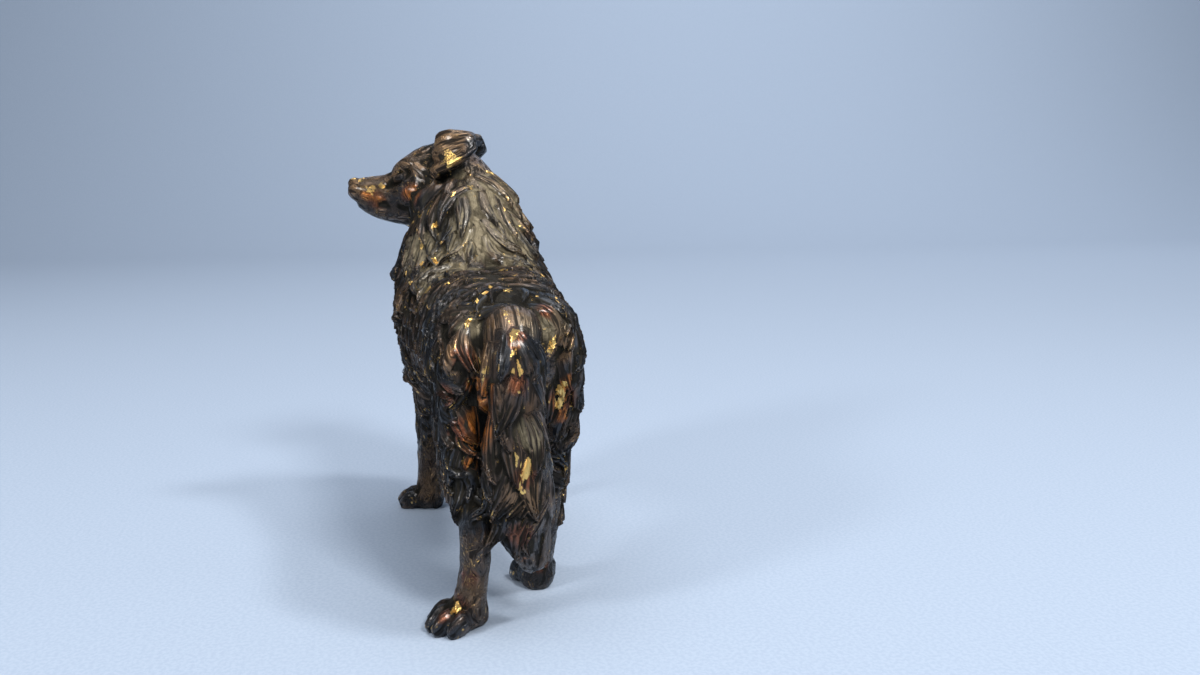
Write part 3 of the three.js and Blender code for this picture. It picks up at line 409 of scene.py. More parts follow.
def stretches(form, place):
    """One form as short straight stretches, each with its own frame, as a dict of arrays."""
    fine = catmull_rom([place(section) for section in form["sections"]])
    start, end = fine[:-1], fine[1:]
    at = start[:, :3]
    line = end[:, :3] - at
    length = np.linalg.norm(line, axis=1)
    along = unit(line)
    across = np.broadcast_to(form["across"], along.shape) if "across" in form else np.cross(UP, along)
    across = unit(across - (across * along).sum(1, keepdims=True) * along)
    through = np.cross(along, across)
    return {
        "start": at, "along": along, "across": across, "through": through,
        "along_at": (at * along).sum(1), "across_at": (at * across).sum(1),
        "through_at": (at * through).sum(1),
        "length": length, "before": np.cumsum(length) - length,
        "wide": start[:, 3], "deep": start[:, 4],
        "widen": (end[:, 3] - start[:, 3]) / length, "deepen": (end[:, 4] - start[:, 4]) / length,
        "end": np.full(len(line), float(form["end"])),
    }


def placed(at, degrees, mirror=1):
    """A function that brings a section of the head or of a paw from its own frame to the figure's.

    The frame starts at `at`, is turned to the left by `degrees`, and is flipped where mirror is -1.
    """
    cos, sin = np.cos(np.radians(degrees)), np.sin(np.radians(degrees))

    def place(section):
        forward, left, up, *radii = section
        x = at[0] + forward * cos - mirror * left * sin
        y = at[1] + forward * sin + mirror * left * cos
        return [x, y, at[2] + up, *radii]

    return place


def toe(side, reach):
    return {
        "blend": TOE_BLEND,
        "end": TOE_END,
        "sections": [
            [2.0, side * 0.7, 3.4, TOE_HALF, TOE_HEIGHT],
            [reach - 2.2, side, 3.2, TOE_HALF * 1.1, TOE_HEIGHT * 1.15],
            [reach, side * 1.05, 1.8, TOE_HALF * 0.9, TOE_HEIGHT * 0.8],
        ],
    }


def all_forms():
    """Every form as (name, blend, hollow, stretches), in the order in which they are joined."""
    made = []

    def add(place, **forms):
        for name, form in forms.items():
            made.append((name, form["blend"], form.get("hollow", False), stretches(form, place)))

    add(
        lambda section: section,
        TRUNK=TRUNK, NECK=NECK, BIB=BIB, SHOULDER_LEFT=SHOULDER_LEFT, SHOULDER_RIGHT=SHOULDER_RIGHT,
        FORE_LEFT=FORE_LEFT, FORE_RIGHT=FORE_RIGHT, HIND_LEFT=HIND_LEFT, HIND_RIGHT=HIND_RIGHT,
        BREECH_LEFT=BREECH_LEFT, BREECH_RIGHT=BREECH_RIGHT, TAIL=TAIL, ALMOND=ALMOND, CURL=CURL,
        CURL_BELOW=CURL_BELOW, LOIN=LOIN,
    )
    add(lambda section: [section[0], -section[1], *section[2:]], LOIN_RIGHT=LOIN)
    add(placed(**HEAD), SKULL=SKULL, MUZZLE=MUZZLE, JAW=JAW, NOSE=NOSE)
    for mirror in (1, -1):
        add(
            placed(**HEAD, mirror=mirror),
            CHEEK=CHEEK, BROW=BROW, SOCKET=SOCKET, EYE=EYE, EAR_HOLLOW=EAR_HOLLOW,
            EAR_ROOT=EAR_ROOT, EAR=EAR, EAR_RIM=EAR_RIM, EAR_SLIT=EAR_SLIT, MOUTH=MOUTH,
            NOSTRIL=NOSTRIL,
        )
    for paw in PAWS:
        for form in [PAD] + [toe(**shape) for shape in TOES]:
            add(placed([*paw["ankle"], -SOLE_DEPTH], paw["splay"]), PAW=form)
    return made


FORMS = all_forms()
BLEND = np.array([form[1] for form in FORMS], float)
HOLLOW = np.array([form[2] for form in FORMS])
OWNER = np.repeat(np.arange(len(FORMS)), [len(form[3]["length"]) for form in FORMS])
STRETCHES = {key: np.concatenate([form[3][key] for form in FORMS]) for key in FORMS[0][3]}


def pick(table, chosen):
    return {key: column[chosen] for key, column in table.items()}


def to_stretches(points, s):
    """Distance from each point to each stretch: to its oval section, rounded off past the ends.

    In the section's own measure a point is (p, q, r) and `near` its length, 1 on the surface. The
    distance is near (near - 1) over the slope of `near`, as for an ellipsoid.
    """
    way = points @ s["along"].T - s["along_at"]
    held = np.clip(way, 0, s["length"])
    wide = s["wide"] + s["widen"] * held
    deep = s["deep"] + s["deepen"] * held
    cap = s["end"] * np.minimum(wide, deep)
    p = (points @ s["across"].T - s["across_at"]) / wide
    q = (points @ s["through"].T - s["through_at"]) / deep
    r = (way - held) / cap
    near = np.sqrt(p * p + q * q + r * r)
    slope = np.sqrt((p / wide) ** 2 + (q / deep) ** 2 + (r / cap) ** 2)
    return near * (near - 1) / np.maximum(slope, TINY)


def join(a, b, blend):
    """Smooth union: two distances joined with a fillet about `blend` wide."""
    overlap = np.maximum(blend - np.abs(a - b), 0)
    return np.minimum(a, b) - overlap * overlap / (4 * blend)


def body(points, rows, owner):
    """Signed distance to the bare figure, negative inside. Hollow forms are scooped out of it."""
    gaps = to_stretches(points, rows)
    value = np.full(len(points), FAR, points.dtype)
    firsts = np.flatnonzero(np.diff(owner, prepend=-1))
    for first, last in zip(firsts, [*firsts[1:], len(owner)]):
        own = gaps[:, first:last].min(axis=1)
        form = owner[first]
        if HOLLOW[form]:
            value = -join(-value, own, BLEND[form])
        else:
            value = join(value, own, BLEND[form])
    return value


def chance(a, b):
    """A number between -1 and 1 that depends only on the two given: the far decimals of a sine."""
    s = np.sin(a * 12.9898 + b * 78.233) * 43758.5453
    return 2 * (s - np.floor(s)) - 1


def whims(coat, row, k):
    """What sets a lock apart from its neighbours: four chances that depend on its place."""
    return {
        "stray": chance(row + 31 * coat, k),
        "shift": chance(k + 57, row + 17 * coat),
        "turn": SWING * chance(7 * row + coat, 3 * k),
        "curl": chance(k, row),
    }


def seeds():
    """Where each lock would start: a place on a form's middle line and a ray out of it."""
    found = []
    for c, coat in enumerate(COAT):
        own = next(n for n, form in enumerate(FORMS) if form[0] == coat["of"])
        s = FORMS[own][3]
        ends = np.cumsum(s["length"])
        first, last = (share * ends[-1] for share in coat["share"])
        apart, beside = coat["spacing"]
        rows = max(round((last - first) / apart), 1)
        for row in range(rows + 1):
            way = first + (last - first) * row / rows
            n = min(int(np.searchsorted(ends, way)), len(ends) - 1)
            way -= ends[n] - s["length"][n]
            around = max(round(np.pi * (s["wide"][n] + s["deep"][n]) / beside), 3)
            k = np.arange(around)
            ways = whims(c, row, k)
            angle = 2 * np.pi * (k + (row % 2) / 2 + WANDER * ways["stray"]) / around
            found.append({
                "start": s["start"][n] + np.outer(way + WANDER * ways["shift"] * apart, s["along"][n]),
                "ray": np.outer(np.cos(angle), s["across"][n]) + np.outer(np.sin(angle), s["through"][n]),
                "far": np.full(around, max(s["wide"][n], s["deep"][n]) + SEARCH_FROM),
                "own": np.full(around, own),
                "coat": np.full(around, c),
                **ways,
            })
    return {key: np.concatenate([row[key] for row in found]) for key in found[0]}


def all_locks():
    """Lays out all locks, as a dict of arrays.

    A lock is rooted where a ray from a form's middle line leaves the figure, if the form itself
    reaches that far. It points the way the hair lies there, turned a little to one side.
    """
    seed = seeds()
    start, ray, far = seed["start"], seed["ray"], seed["far"]
    gap = np.full(len(far), FAR)
    for _ in range(SEARCH_STEPS):
        moving = (gap > SEARCH_END) & (far > 0)
        if not moving.any():
            break
        gap[moving] = body(start[moving] + ray[moving] * far[moving, None], STRETCHES, OWNER)
        far[moving] -= SEARCH_STRIDE * gap[moving]
    root = start + ray * far[:, None]
    own_gap = np.where(OWNER == seed["own"][:, None], to_stretches(root, STRETCHES), FAR).min(axis=1)
    normal = unit(np.stack([
        body(root + step, STRETCHES, OWNER) - body(root - step, STRETCHES, OWNER)
        for step in NUDGE * np.eye(3)
    ], axis=1))
    kind = {key: np.array([coat[key] for coat in COAT], float)[seed["coat"]] for key in ("lay", "size")}
    deepest = np.array([coat["deepest"] for coat in COAT], float)[seed["coat"]]
    lay = kind["lay"]
    lay[:, 1] *= np.sign(root[:, 1])
    lay -= (lay * normal).sum(1, keepdims=True) * normal
    level = np.linalg.norm(lay, axis=1)
    kept = (gap <= SEARCH_END) & (own_gap <= GRIP) & (level >= LEAST_LAY)
    lay = unit(lay)
    side = np.cross(normal, lay)
    lay = lay * np.cos(seed["turn"])[:, None] + side * np.sin(seed["turn"])[:, None]
    side = np.cross(normal, lay)
    larger = 1 + LENGTH_SPREAD * seed["stray"]
    higher = 1 + HEIGHT_SPREAD * seed["shift"]
    length, width, height = (kind["size"] * np.stack([larger, larger, higher], 1)).T
    locks = {
        "root": root, "normal": normal, "lay": lay, "side": side,
        "root_lay": (root * lay).sum(1), "root_normal": (root * normal).sum(1),
        "root_side": (root * side).sum(1),
        "length": length, "half": width / 2, "height": height, "deepest": deepest,
        "bow": BEND * seed["curl"] * kind["size"][:, 1], "flick": FLICK * seed["shift"] * width,
        "strands": np.maximum(np.round(width / STRAND), 2),
        "phase": np.pi * seed["stray"], "wave": STRAND_WAVE * seed["shift"],
    }
    return pick(locks, kept)


LOCKS = all_locks()
STRETCHES = {key: column.astype(np.float32) for key, column in STRETCHES.items()}
LOCKS = {key: column.astype(np.float32) for key, column in LOCKS.items()}
THICKEST = 2 * LOCKS["height"].max()


def on_locks(points, locks):
    """Each point in the frame of each lock: how far along and off it, and its height there.

    A lock is a leaf, u along it and v across: it rises from its root to a proud point, is rounded
    across as sqrt(1 - v^2), and its middle line bows and flicks to one side.
    """
    u = (points @ locks["lay"].T - locks["root_lay"]) / locks["length"]
    off = points @ locks["normal"].T - locks["root_normal"]
    sideways = points @ locks["side"].T - locks["root_side"]
    within = np.clip(u, 0, 1)
    tail = np.maximum((within - WIDEST) / (1 - WIDEST), 0)
    taper = np.minimum(ROOT_WIDTH + (1 - ROOT_WIDTH) * within / WIDEST, 1) * (1 - tail) ** POINT
    middle = locks["bow"] * np.sin(np.pi * within) + locks["flick"] * within**3
    v = (sideways - middle) / (locks["half"] * np.maximum(taper, NARROWEST))
    rise = ROOT_RISE + (1 - ROOT_RISE) * np.minimum(within / HIGHEST, 1)
    tip = np.sqrt(np.maximum(1 - (np.maximum(within - TIP, 0) / (1 - TIP)) ** 2, 0))
    height = locks["height"] * rise * tip * np.sqrt(np.maximum(1 - v * v, 0))
    height[(u <= 0) | (u >= 1) | (np.abs(off) > locks["deepest"])] = 0
    return within, v, rise, height


def coat_height(points, locks):
    """How high the coat stands over the bare figure at each point: the highest of the locks there.

    The lock on top is combed into strands by grooves of |cos|^3 along it.
    """
    u, v, rise, height = on_locks(points, locks)
    weave = locks["wave"] * np.sin(2 * np.pi * u + locks["phase"])
    groove = np.abs(np.cos(0.5 * np.pi * (locks["strands"] * v + weave))) ** 3
    depth = STRAND_DEPTH * groove * rise * np.sqrt(np.maximum(1 - v * v, 0))
    top = height.argmax(axis=1)[:, None]
    height = np.take_along_axis(height, top, axis=1)[:, 0]
    cut = np.take_along_axis(depth, top, axis=1)[:, 0]
    return height - np.minimum(cut, DEEPEST_CUT * height)


def near_rows(centre, radius):
    """Which stretches and locks can shape the surface within `radius` of a point."""
    gaps = to_stretches(centre[None], STRETCHES)[0]
    best = np.full(len(FORMS), FAR)
    np.minimum.at(best, OWNER, gaps)
    nearest = gaps < best[OWNER] + 2 * STEEPEST * radius
    rows = nearest & (best[OWNER] < BLEND[OWNER] + THICKEST + STEEPEST * radius)
    middle = LOCKS["root"] + LOCKS["lay"] * (LOCKS["length"] / 2)[:, None]
    reach = np.sqrt((LOCKS["length"] / 2) ** 2 + (LOCKS["half"] * 2) ** 2 + LOCKS["deepest"] ** 2)
    locks = ((middle - centre) ** 2).sum(1) < (reach + radius) ** 2
    return rows, locks


def combed(points):
    """Where each point lies in the hair: across it, through it, and along it drawn out.

    On a lock that is measured from the lock's own middle line, elsewhere from the middle line of
    the nearest form. Fine hair is a pattern in this space.
    """
    place = np.zeros((len(points), 3), np.float32)
    cell = np.floor(points / COMB_CELL).astype(int)
    cells, group = np.unique(cell, axis=0, return_inverse=True)
    order = np.argsort(group.ravel(), kind="stable")
    for n, chosen in enumerate(np.split(order, np.cumsum(np.bincount(group.ravel()))[:-1])):
        here = points[chosen].astype(np.float32)
        centre = ((cells[n] + 0.5) * COMB_CELL).astype(np.float32)
        rows, close = near_rows(centre, COMB_CELL * HALF_DIAGONAL)
        s = pick(STRETCHES, rows)
        nearest = to_stretches(here, s).argmin(axis=1)
        s = pick(s, nearest)
        along = (here * s["along"]).sum(1) - s["along_at"] + s["before"]
        across = (here * s["across"]).sum(1) - s["across_at"]
        through = (here * s["through"]).sum(1) - s["through_at"]
        in_hair = np.stack([across, through, along / DRAWN_OUT], 1)
        if close.any():
            locks = pick(LOCKS, close)
            u, v, _, height = on_locks(here, locks)
            top = height.argmax(axis=1)
            row = np.arange(len(here))
            covered = height[row, top] > 0
            lock = pick(locks, top)
            across, along = v[row, top] * lock["half"], u[row, top] * lock["length"]
            on_top = np.stack([across, lock["phase"] * PATTERN_STEP, along / DRAWN_OUT], 1)
            in_hair[covered] = on_top[covered]
        place[chosen] = in_hair
    return place


def figure(points, rows, locks):
    """Signed distance to the finished figure, filed flat at the soles."""
    value = body(points, pick(STRETCHES, rows), OWNER[rows])
    if locks.any():
        close = np.abs(value) < THICKEST
        value[close] -= coat_height(points[close], pick(LOCKS, locks))
    return np.maximum(value, -points[:, 2])


def skin():
    """Skins the figure by surface nets, as arrays of points and quads.

    Each grid cell that the surface crosses gets one vertex, the mean of the crossings on its edges,
    and each grid edge that crosses it gets one quad. Blocks well clear of the surface are skipped.
    """
    reach = np.maximum(STRETCHES["wide"], STRETCHES["deep"])[:, None]
    low = (STRETCHES["start"] - reach).min(0) - THICKEST - MARGIN * CELL
    high = (STRETCHES["start"] + reach).max(0) + THICKEST + MARGIN * CELL
    low[2] = -BELOW * CELL
    blocks = np.ceil((high - low) / CELL / BLOCK).astype(int)
    value = np.full(blocks * BLOCK, FAR, np.float32)
    inner = np.stack(np.meshgrid(*[np.arange(BLOCK)] * 3, indexing="ij"), -1).reshape(-1, 3) * CELL
    half = (BLOCK - 1) / 2 * CELL
    radius = half * np.sqrt(3)
    corners = np.stack(np.meshgrid(*[np.arange(n) for n in blocks], indexing="ij"), -1).reshape(-1, 3)
    centres = low + corners * BLOCK * CELL + half
    rough = np.concatenate([body(part, STRETCHES, OWNER) for part in np.array_split(centres, BATCHES)])

    def fill(corner, centre, gap):
        i, j, k = corner * BLOCK
        here = value[i : i + BLOCK, j : j + BLOCK, k : k + BLOCK]
        if abs(gap) > CLEAR * radius + THICKEST:
            here[:] = gap
        else:
            points = (inner + (centre - half)).astype(np.float32)
            here[:] = figure(points, *near_rows(centre, radius)).reshape([BLOCK] * 3)

    with ThreadPoolExecutor(4) as pool:
        list(pool.map(fill, corners, centres, rough))
    return surface_nets(value, low)


def surface_nets(value, low):
    """Vertices and quads of the zero surface of a grid of distances that starts at `low`."""
    inside = value < 0
    shape = np.array(value.shape)
    count = np.zeros(shape - 1, np.int8)
    offsets = [(a, b, c) for a in (0, 1) for b in (0, 1) for c in (0, 1)]
    for a, b, c in offsets:
        count += inside[a : shape[0] - 1 + a, b : shape[1] - 1 + b, c : shape[2] - 1 + c]
    cells = np.argwhere((count > 0) & (count < 8))
    corner = {o: value[tuple((cells + o).T)].astype(float) for o in offsets}
    total, hits = np.zeros((len(cells), 3)), np.zeros(len(cells))
    for axis in range(3):
        for o in offsets:
            if o[axis]:
                continue
            other = tuple(int(n == axis) or o[n] for n in range(3))
            a, b = corner[o], corner[other]
            crossed = (a < 0) != (b < 0)
            share = np.where(crossed, a / np.where(crossed, a - b, 1), 0)
            spot = np.tile(np.array(o, float), (len(cells), 1))
            spot[:, axis] += share
            total += spot * crossed[:, None]
            hits += crossed
    points = low + (cells + total / hits[:, None]) * CELL
    number = np.full(shape - 1, -1, np.int32)
    number[tuple(cells.T)] = np.arange(len(cells))
    quads = []
    for axis in range(3):
        step = np.eye(3, dtype=int)[axis]
        u, w = np.roll(step, 1), np.roll(step, 2)
        ahead = np.roll(inside, -1, axis)
        edges = np.argwhere(inside != ahead)
        edges = edges[(edges > 0).all(1) & (edges < shape - 2).all(1)]
        quad = np.stack([number[tuple((edges - m).T)] for m in (u + w, w, 0 * u, u)], 1)
        outward = inside[tuple(edges.T)]
        quad[~outward] = quad[~outward][:, ::-1]
        quads.append(quad)
    return points, np.concatenate(quads)


def in_metres(points):
    """From parts on the sculptor's scale to the frame's own place."""
    centre = np.array([(LOW[0] + HIGH[0]) / 2, (LOW[1] + HIGH[1]) / 2, LOW[2]])
    return (points - [*MIDDLE, 0]) * PART + centre


def mesh_object(name, points, faces):
    mesh = bpy.data.meshes.new(name)
    mesh.vertices.add(len(points))
    mesh.vertices.foreach_set("co", points.astype(np.float32).ravel())
    sides = faces.shape[1]
    mesh.loops.add(faces.size)
    mesh.loops.foreach_set("vertex_index", faces.astype(np.int32).ravel())
    mesh.polygons.add(len(faces))
    mesh.polygons.foreach_set("loop_start", np.arange(0, faces.size, sides, dtype=np.int32))
    mesh.update(calc_edges=True)
    mesh.polygons.foreach_set("use_smooth", np.ones(len(faces), bool))
    made = bpy.data.objects.new(name, mesh)
    bpy.context.scene.collection.objects.link(made)
    return made


def thinned(piece, target):
    """Draws edges together until `target` triangles are left, where they show least."""
    triangles = sum(len(face.vertices) - 2 for face in piece.data.polygons)
    if triangles <= target:
        return
    modifier = piece.modifiers.new("thin", "DECIMATE")
    modifier.ratio = target / triangles
    bpy.context.view_layer.update()
    lean = bpy.data.meshes.new_from_object(piece.evaluated_get(bpy.context.evaluated_depsgraph_get()))
    piece.modifiers.clear()
    old, piece.data = piece.data, lean
    bpy.data.meshes.remove(old)
    lean.polygons.foreach_set("use_smooth", np.ones(len(lean.polygons), bool))


TAKEN = 0.6  # how much a vertex takes on of its neighbours in one round of averaging
EDGE_ROUNDS, GROOVE_ROUNDS, HOLLOW_ROUNDS = 1, 6, 30  # how widely the surface is averaged for each
SHARP_EDGE = 1.6  # offset over length squared at which an edge counts in full
DEEP_GROOVE = 0.16  # how deep a groove counts in full, in parts
DEEP_HOLLOW = 0.5  # how deep a hollow does


def spread(values, edges, count, rounds):
    """Averages a value over each vertex's neighbours, over and over."""
    for _ in range(rounds):
        total = np.zeros_like(values)
        for n in range(values.shape[1]):
            total[:, n] = np.bincount(edges[:, 0], values[edges[:, 1], n], len(values))
            total[:, n] += np.bincount(edges[:, 1], values[edges[:, 0], n], len(values))
        values = (1 - TAKEN) * values + TAKEN * total / count[:, None]
    return values


def read(items, name, width, kind=np.float32):
    values = np.empty(len(items) * width, kind)
    items.foreach_get(name, values)
    return values.reshape(-1, width)


def paint(piece):
    """Gives the mesh its masks, each between 0 and 1, and `comb`, each vertex's place in the hair.

    `edge`, `groove` and `hollow` are how far a vertex stands out of, or lies below, the surface
    averaged round it. The others are the spots.
    """
    mesh = piece.data
    parts = (read(mesh.vertices, "co", 3).astype(float) - in_metres(np.zeros((1, 3)))) / PART
    normals = read(mesh.vertices, "normal", 3)
    edges = read(mesh.edges, "vertices", 2, np.int32)
    count = np.maximum(np.bincount(edges.ravel(), minlength=len(parts)), 1)
    span = np.linalg.norm(parts[edges[:, 0]] - parts[edges[:, 1]], axis=1) ** 2
    span = (np.bincount(edges[:, 0], span, len(parts)) + np.bincount(edges[:, 1], span, len(parts))) / count

    def stands_out(rounds):
        return ((parts - spread(parts, edges, count, rounds)) * normals).sum(1)

    sharp = spread((stands_out(EDGE_ROUNDS) / (TAKEN * span))[:, None], edges, count, 1)[:, 0]
    masks = {
        "edge": np.clip(sharp / SHARP_EDGE, 0, 1),
        "groove": np.clip(-stands_out(GROOVE_ROUNDS) / DEEP_GROOVE, 0, 1),
        "hollow": np.clip(-stands_out(HOLLOW_ROUNDS) / DEEP_HOLLOW, 0, 1),
    }
    masks.update({name: spot_mask(parts, spots) for name, spots in SPOTS.items()})
    for name, mask in masks.items():
        mesh.attributes.new(name, "FLOAT", "POINT").data.foreach_set("value", mask.astype(np.float32))
    comb = mesh.attributes.new("comb", "FLOAT_VECTOR", "POINT")
    comb.data.foreach_set("vector", combed(parts).ravel())


# Spots of the finish, on the form named. Each lies where a ray out of the form's middle line meets
# the skin: how far along the form it starts, as a share, its angle round the form from the end of
# the width, in degrees, and the spot's radius in parts.
SPOTS = {
    "worn": {
        "MUZZLE": [(0.85, 60, 1.4), (0.6, 85, 1.2), (0.5, 10, 1.4), (0.25, 25, 0.9)],
        "NOSE": [(0.5, 60, 0.8)],
        "SKULL": [(0.7, 60, 1.1)],
        "EAR": [(0.35, 232, 1.3), (0.5, 222, 0.8)],
        "EAR_RIM": [(0.6, 180, 0.9)],
        "EAR_ROOT": [(0.5, 100, 0.8)],
        "NECK": [(0.85, 20, 0.8), (0.8, 10, 0.7), (0.78, 75, 0.7), (0.72, 80, 0.7), (0.74, 60, 0.7),
            (0.9, 100, 0.6), (0.85, 130, 0.7), (0.62, 110, 0.7), (0.55, 45, 0.8), (0.45, 30, 0.9),
            (0.66, 25, 0.7)],
        "LOIN": [(0.55, 55, 1.6), (0.77, 75, 1.1), (0.73, 85, 0.7), (0.82, 65, 0.9), (0.3, 70, 0.7)],
        "TRUNK": [(0.53, 40, 0.7), (0.05, 93, 1.2), (0.03, 72, 0.9), (0.0, 60, 0.8), (0.07, 80, 0.8),
            (0.12, 110, 0.9)],
        "ALMOND": [(0.0, -80, 0.7)],
        "TAIL": [(0.14, -85, 1.1), (0.18, -85, 0.9), (0.24, -95, 0.9), (0.3, -90, 0.8),
            (0.47, -80, 0.6), (0.52, -85, 1.0), (0.57, -95, 1.1), (0.62, -90, 1.0), (0.54, -105, 0.8)],
        "BREECH_RIGHT": [(0.16, -85, 1.2), (0.48, -97, 1.5), (0.6, -95, 1.3), (0.42, -105, 0.8)],
        "HIND_LEFT": [(0.98, -40, 1.1), (0.62, -80, 0.6)],
    },
    # lighter rubbed bronze, partly a painted highlight on the lit tops of the muzzle, skull, ears, tail
    # root and curls
    "rubbed_and_lit": {
        "MUZZLE": [(0.3, 60, 6), (0.8, 40, 5), (0.6, 10, 4)],
        "SKULL": [(0.8, 70, 5), (0.5, 45, 5), (0.3, 25, 5)],
        "EAR": [(0.4, 150, 6), (0.6, 90, 5)],
        "EAR_RIM": [(0.5, 180, 4)],
        "TAIL": [(0.09, -90, 5.5), (0.65, -100, 5)],
        "CURL": [(0.3, -90, 4)],
        "CURL_BELOW": [(0.4, -90, 4)],
        "ALMOND": [(0.5, -90, 5)],
        "NECK": [(0.85, 110, 6), (0.6, 135, 7)],
        "HIND_LEFT": [(0.9, -90, 4)],
        "FORE_LEFT": [(0.95, -90, 5)],
        "TRUNK": [(0.15, 100, 6)],
    },
    "russet": {
        "CHEEK": [(0.1, -90, 4.0)],
        "MUZZLE": [(0.4, -20, 3.5)],
        "ALMOND": [(0.5, -90, 3.4)],
        "TAIL": [(0.14, -90, 2.6), (0.27, -85, 3.0), (0.58, -95, 3.2), (0.8, -80, 3.8)],
        "BREECH_RIGHT": [(0.55, -100, 4.2)],
        "BREECH_LEFT": [(0.45, -40, 3.0), (0.7, -75, 3.6)],
        "HIND_LEFT": [(0.97, -30, 3.4), (0.85, -60, 3.0)],
        "CURL": [(0.2, -90, 2.4)],
        "HIND_RIGHT": [(0.95, -90, 2.6)],
    },
    "amber": {
        "BREECH_LEFT": [(0.36, -102, 2.8), (0.5, -112, 2.4), (0.63, -105, 3.0), (0.82, -95, 2.6),
            (0.95, -90, 2.2)],
        "BREECH_RIGHT": [(0.55, -95, 3.0), (0.4, -108, 2.4), (0.72, -95, 2.4)],
        "TAIL": [(0.16, -85, 1.7), (0.57, -92, 1.8), (0.93, -80, 1.5)],
        "CHEEK": [(0.1, -90, 3.2)],
        "MUZZLE": [(0.3, -25, 2.4), (0.6, -15, 2.0)],
    },
    "dusty": {
        "NECK": [(0.78, 100, 8), (0.6, 100, 9), (0.45, 85, 8), (0.3, 110, 8), (0.7, 125, 7),
            (0.15, 60, 9)],
        "CURL": [(0.4, -90, 3.6)],
        "TAIL": [(0.1, -125, 3.0), (0.43, -120, 3.4)],
        "ALMOND": [(0.05, -95, 2.6)],
        "LOIN": [(0.95, 70, 7)],
    },
}
REACH = 8  # how far out of its form a spot still shows, in parts


def spot_mask(parts, spots):
    """1 on each spot's ray and fading to 0 at its radius, as 1 - distance squared."""
    mask = np.zeros(len(parts))
    for name, rows in spots.items():
        s = next(form[3] for form in FORMS if form[0] == name)
        for share, angle, radius in rows:
            way = share * (s["before"][-1] + s["length"][-1])
            n = np.searchsorted(s["before"], way, side="right") - 1
            start = s["start"][n] + s["along"][n] * (way - s["before"][n])
            turn = np.radians(angle)
            ray = s["across"][n] * np.cos(turn) + s["through"][n] * np.sin(turn)
            out = (parts - start) @ ray
            away = np.linalg.norm(parts - start - out[:, None] * ray, axis=1) / radius
            away[(out < 0) | (out > max(s["wide"][n], s["deep"][n]) + REACH)] = 1
            mask = np.maximum(mask, 1 - np.minimum(away, 1) ** 2)
    return mask


def wire(tree, source, target, name):
    """Joins an output to an input, or sets the input where the source is a plain value."""
    socket = target.inputs[name]
    if isinstance(source, (int, float, tuple)):
        socket.default_value = source
    else:
        tree.links.new(source, socket)


def calc(tree, operation, a, b):
    """A sum, product or larger value. Sums and products are held between 0 and 1."""
    made = tree.nodes.new("ShaderNodeMath")
    made.operation = operation
    made.use_clamp = operation in ("ADD", "MULTIPLY")
    wire(tree, a, made, 0)
    wire(tree, b, made, 1)
    return made.outputs[0]


def blend(tree, share, a, b):
    """From a, at share 0, to b, at 1. It blends colours if b is one, else plain values."""
    made = tree.nodes.new("ShaderNodeMix")
    coloured = isinstance(b, tuple)
    made.data_type = "RGBA" if coloured else "FLOAT"
    first, out = (6, 2) if coloured else (2, 0)
    wire(tree, share, made, 0)
    wire(tree, a, made, first)
    wire(tree, b, made, first + 1)
    return made.outputs[out]


def fade(tree, source, begins, full):
    """Smooth step: 0 where the source is at `begins`, 1 at `full`."""
    made = tree.nodes.new("ShaderNodeMapRange")
    made.interpolation_type = "SMOOTHSTEP"
    wire(tree, source, made, 0)
    wire(tree, begins, made, 1)
    wire(tree, full, made, 2)
    return made.outputs[0]


def attribute(tree, name, output="Fac"):
    """One of the mesh's masks, or with "Vector" its place in the hair."""
    made = tree.nodes.new("ShaderNodeAttribute")
    made.attribute_name = name
    return made.outputs[output]


def noise(tree, where, scale, detail, roughness):
    made = tree.nodes.new("ShaderNodeTexNoise")
    wire(tree, where, made, "Vector")
    wire(tree, scale, made, "Scale")
    wire(tree, detail, made, "Detail")
    wire(tree, roughness, made, "Roughness")
    return made.outputs[0]


def surface(name):
    """A new material, as (material, node tree, shader)."""
    material = bpy.data.materials.new(name)
    material.use_nodes = True
    return material, material.node_tree, material.node_tree.nodes["Principled BSDF"]


PATINA_METAL = 0.5  # how metallic the patina is
WAX = 0.45  # how much of a wax polish it has where it stands out
WAX_ROUGHNESS = 0.2
BLUE_BLACK = (0.011, 0.013, 0.018, 1)
BROWN_BLACK = (0.078, 0.044, 0.022, 1)
# rubbed bronze, lighter also as a painted highlight on proud edges and lit tops
RUBBED_AND_LIT_BRONZE = (0.20, 0.115, 0.052, 1)
OLIVE = (0.145, 0.118, 0.074, 1)
RUSSET = (0.15, 0.042, 0.012, 1)
AMBER = (0.40, 0.125, 0.012, 1)
# painted shade: near-black put in the grooves and between the strands, where shade falls
PAINTED_SHADE_BLACK = (0.004, 0.004, 0.004, 1)
DUST = (0.31, 0.260, 0.170, 1)
GOLD = (0.90, 0.58, 0.19, 1)

# Noises of the finish, as scale, detail and roughness: waves to the metre, and in the hair's own
# space waves to the part across it
NOISES = {
    "clouds": (70, 4, 0.55),
    "patches": (260, 4, 0.6),
    "grain": (1100, 4, 0.55),
    "flecks": (480, 5, 0.7),
    "chips": (1700, 3, 0.6),
}
HAIR_NOISES = {"strands": (1.25, 2, 0.5), "wisps": (0.45, 3, 0.5)}

# Where each mask of the finish begins and is full, on the noise or mask that it is taken from
FADES = {
    "browned": (0.44, 0.58),
    "proud": (0.1, 0.6),
    "broken": (0.35, 0.65),
    "rubbed_and_lit": (0.0, 0.8),
    "dusted": (0.05, 0.6),
    "russet": (0.2, 0.8),
    "amber": (0.25, 0.8),
    # painted shade: between the strands of the fine hair, and in the grooves
    "between": (0.54, 0.42),
    "shaded_groove": (0.05, 0.6),
    "dusty_hollow": (0.1, 0.5),
    "dusty_groove": (0.15, 0.7),
    "edge_crest": (0.3, 0.65),
    "strand_crest": (0.6, 0.68),
    "flecked": (0.52, 0.57),
    "patchy": (0.46, 0.54),
    "flake": (0.2, 0.27),
}
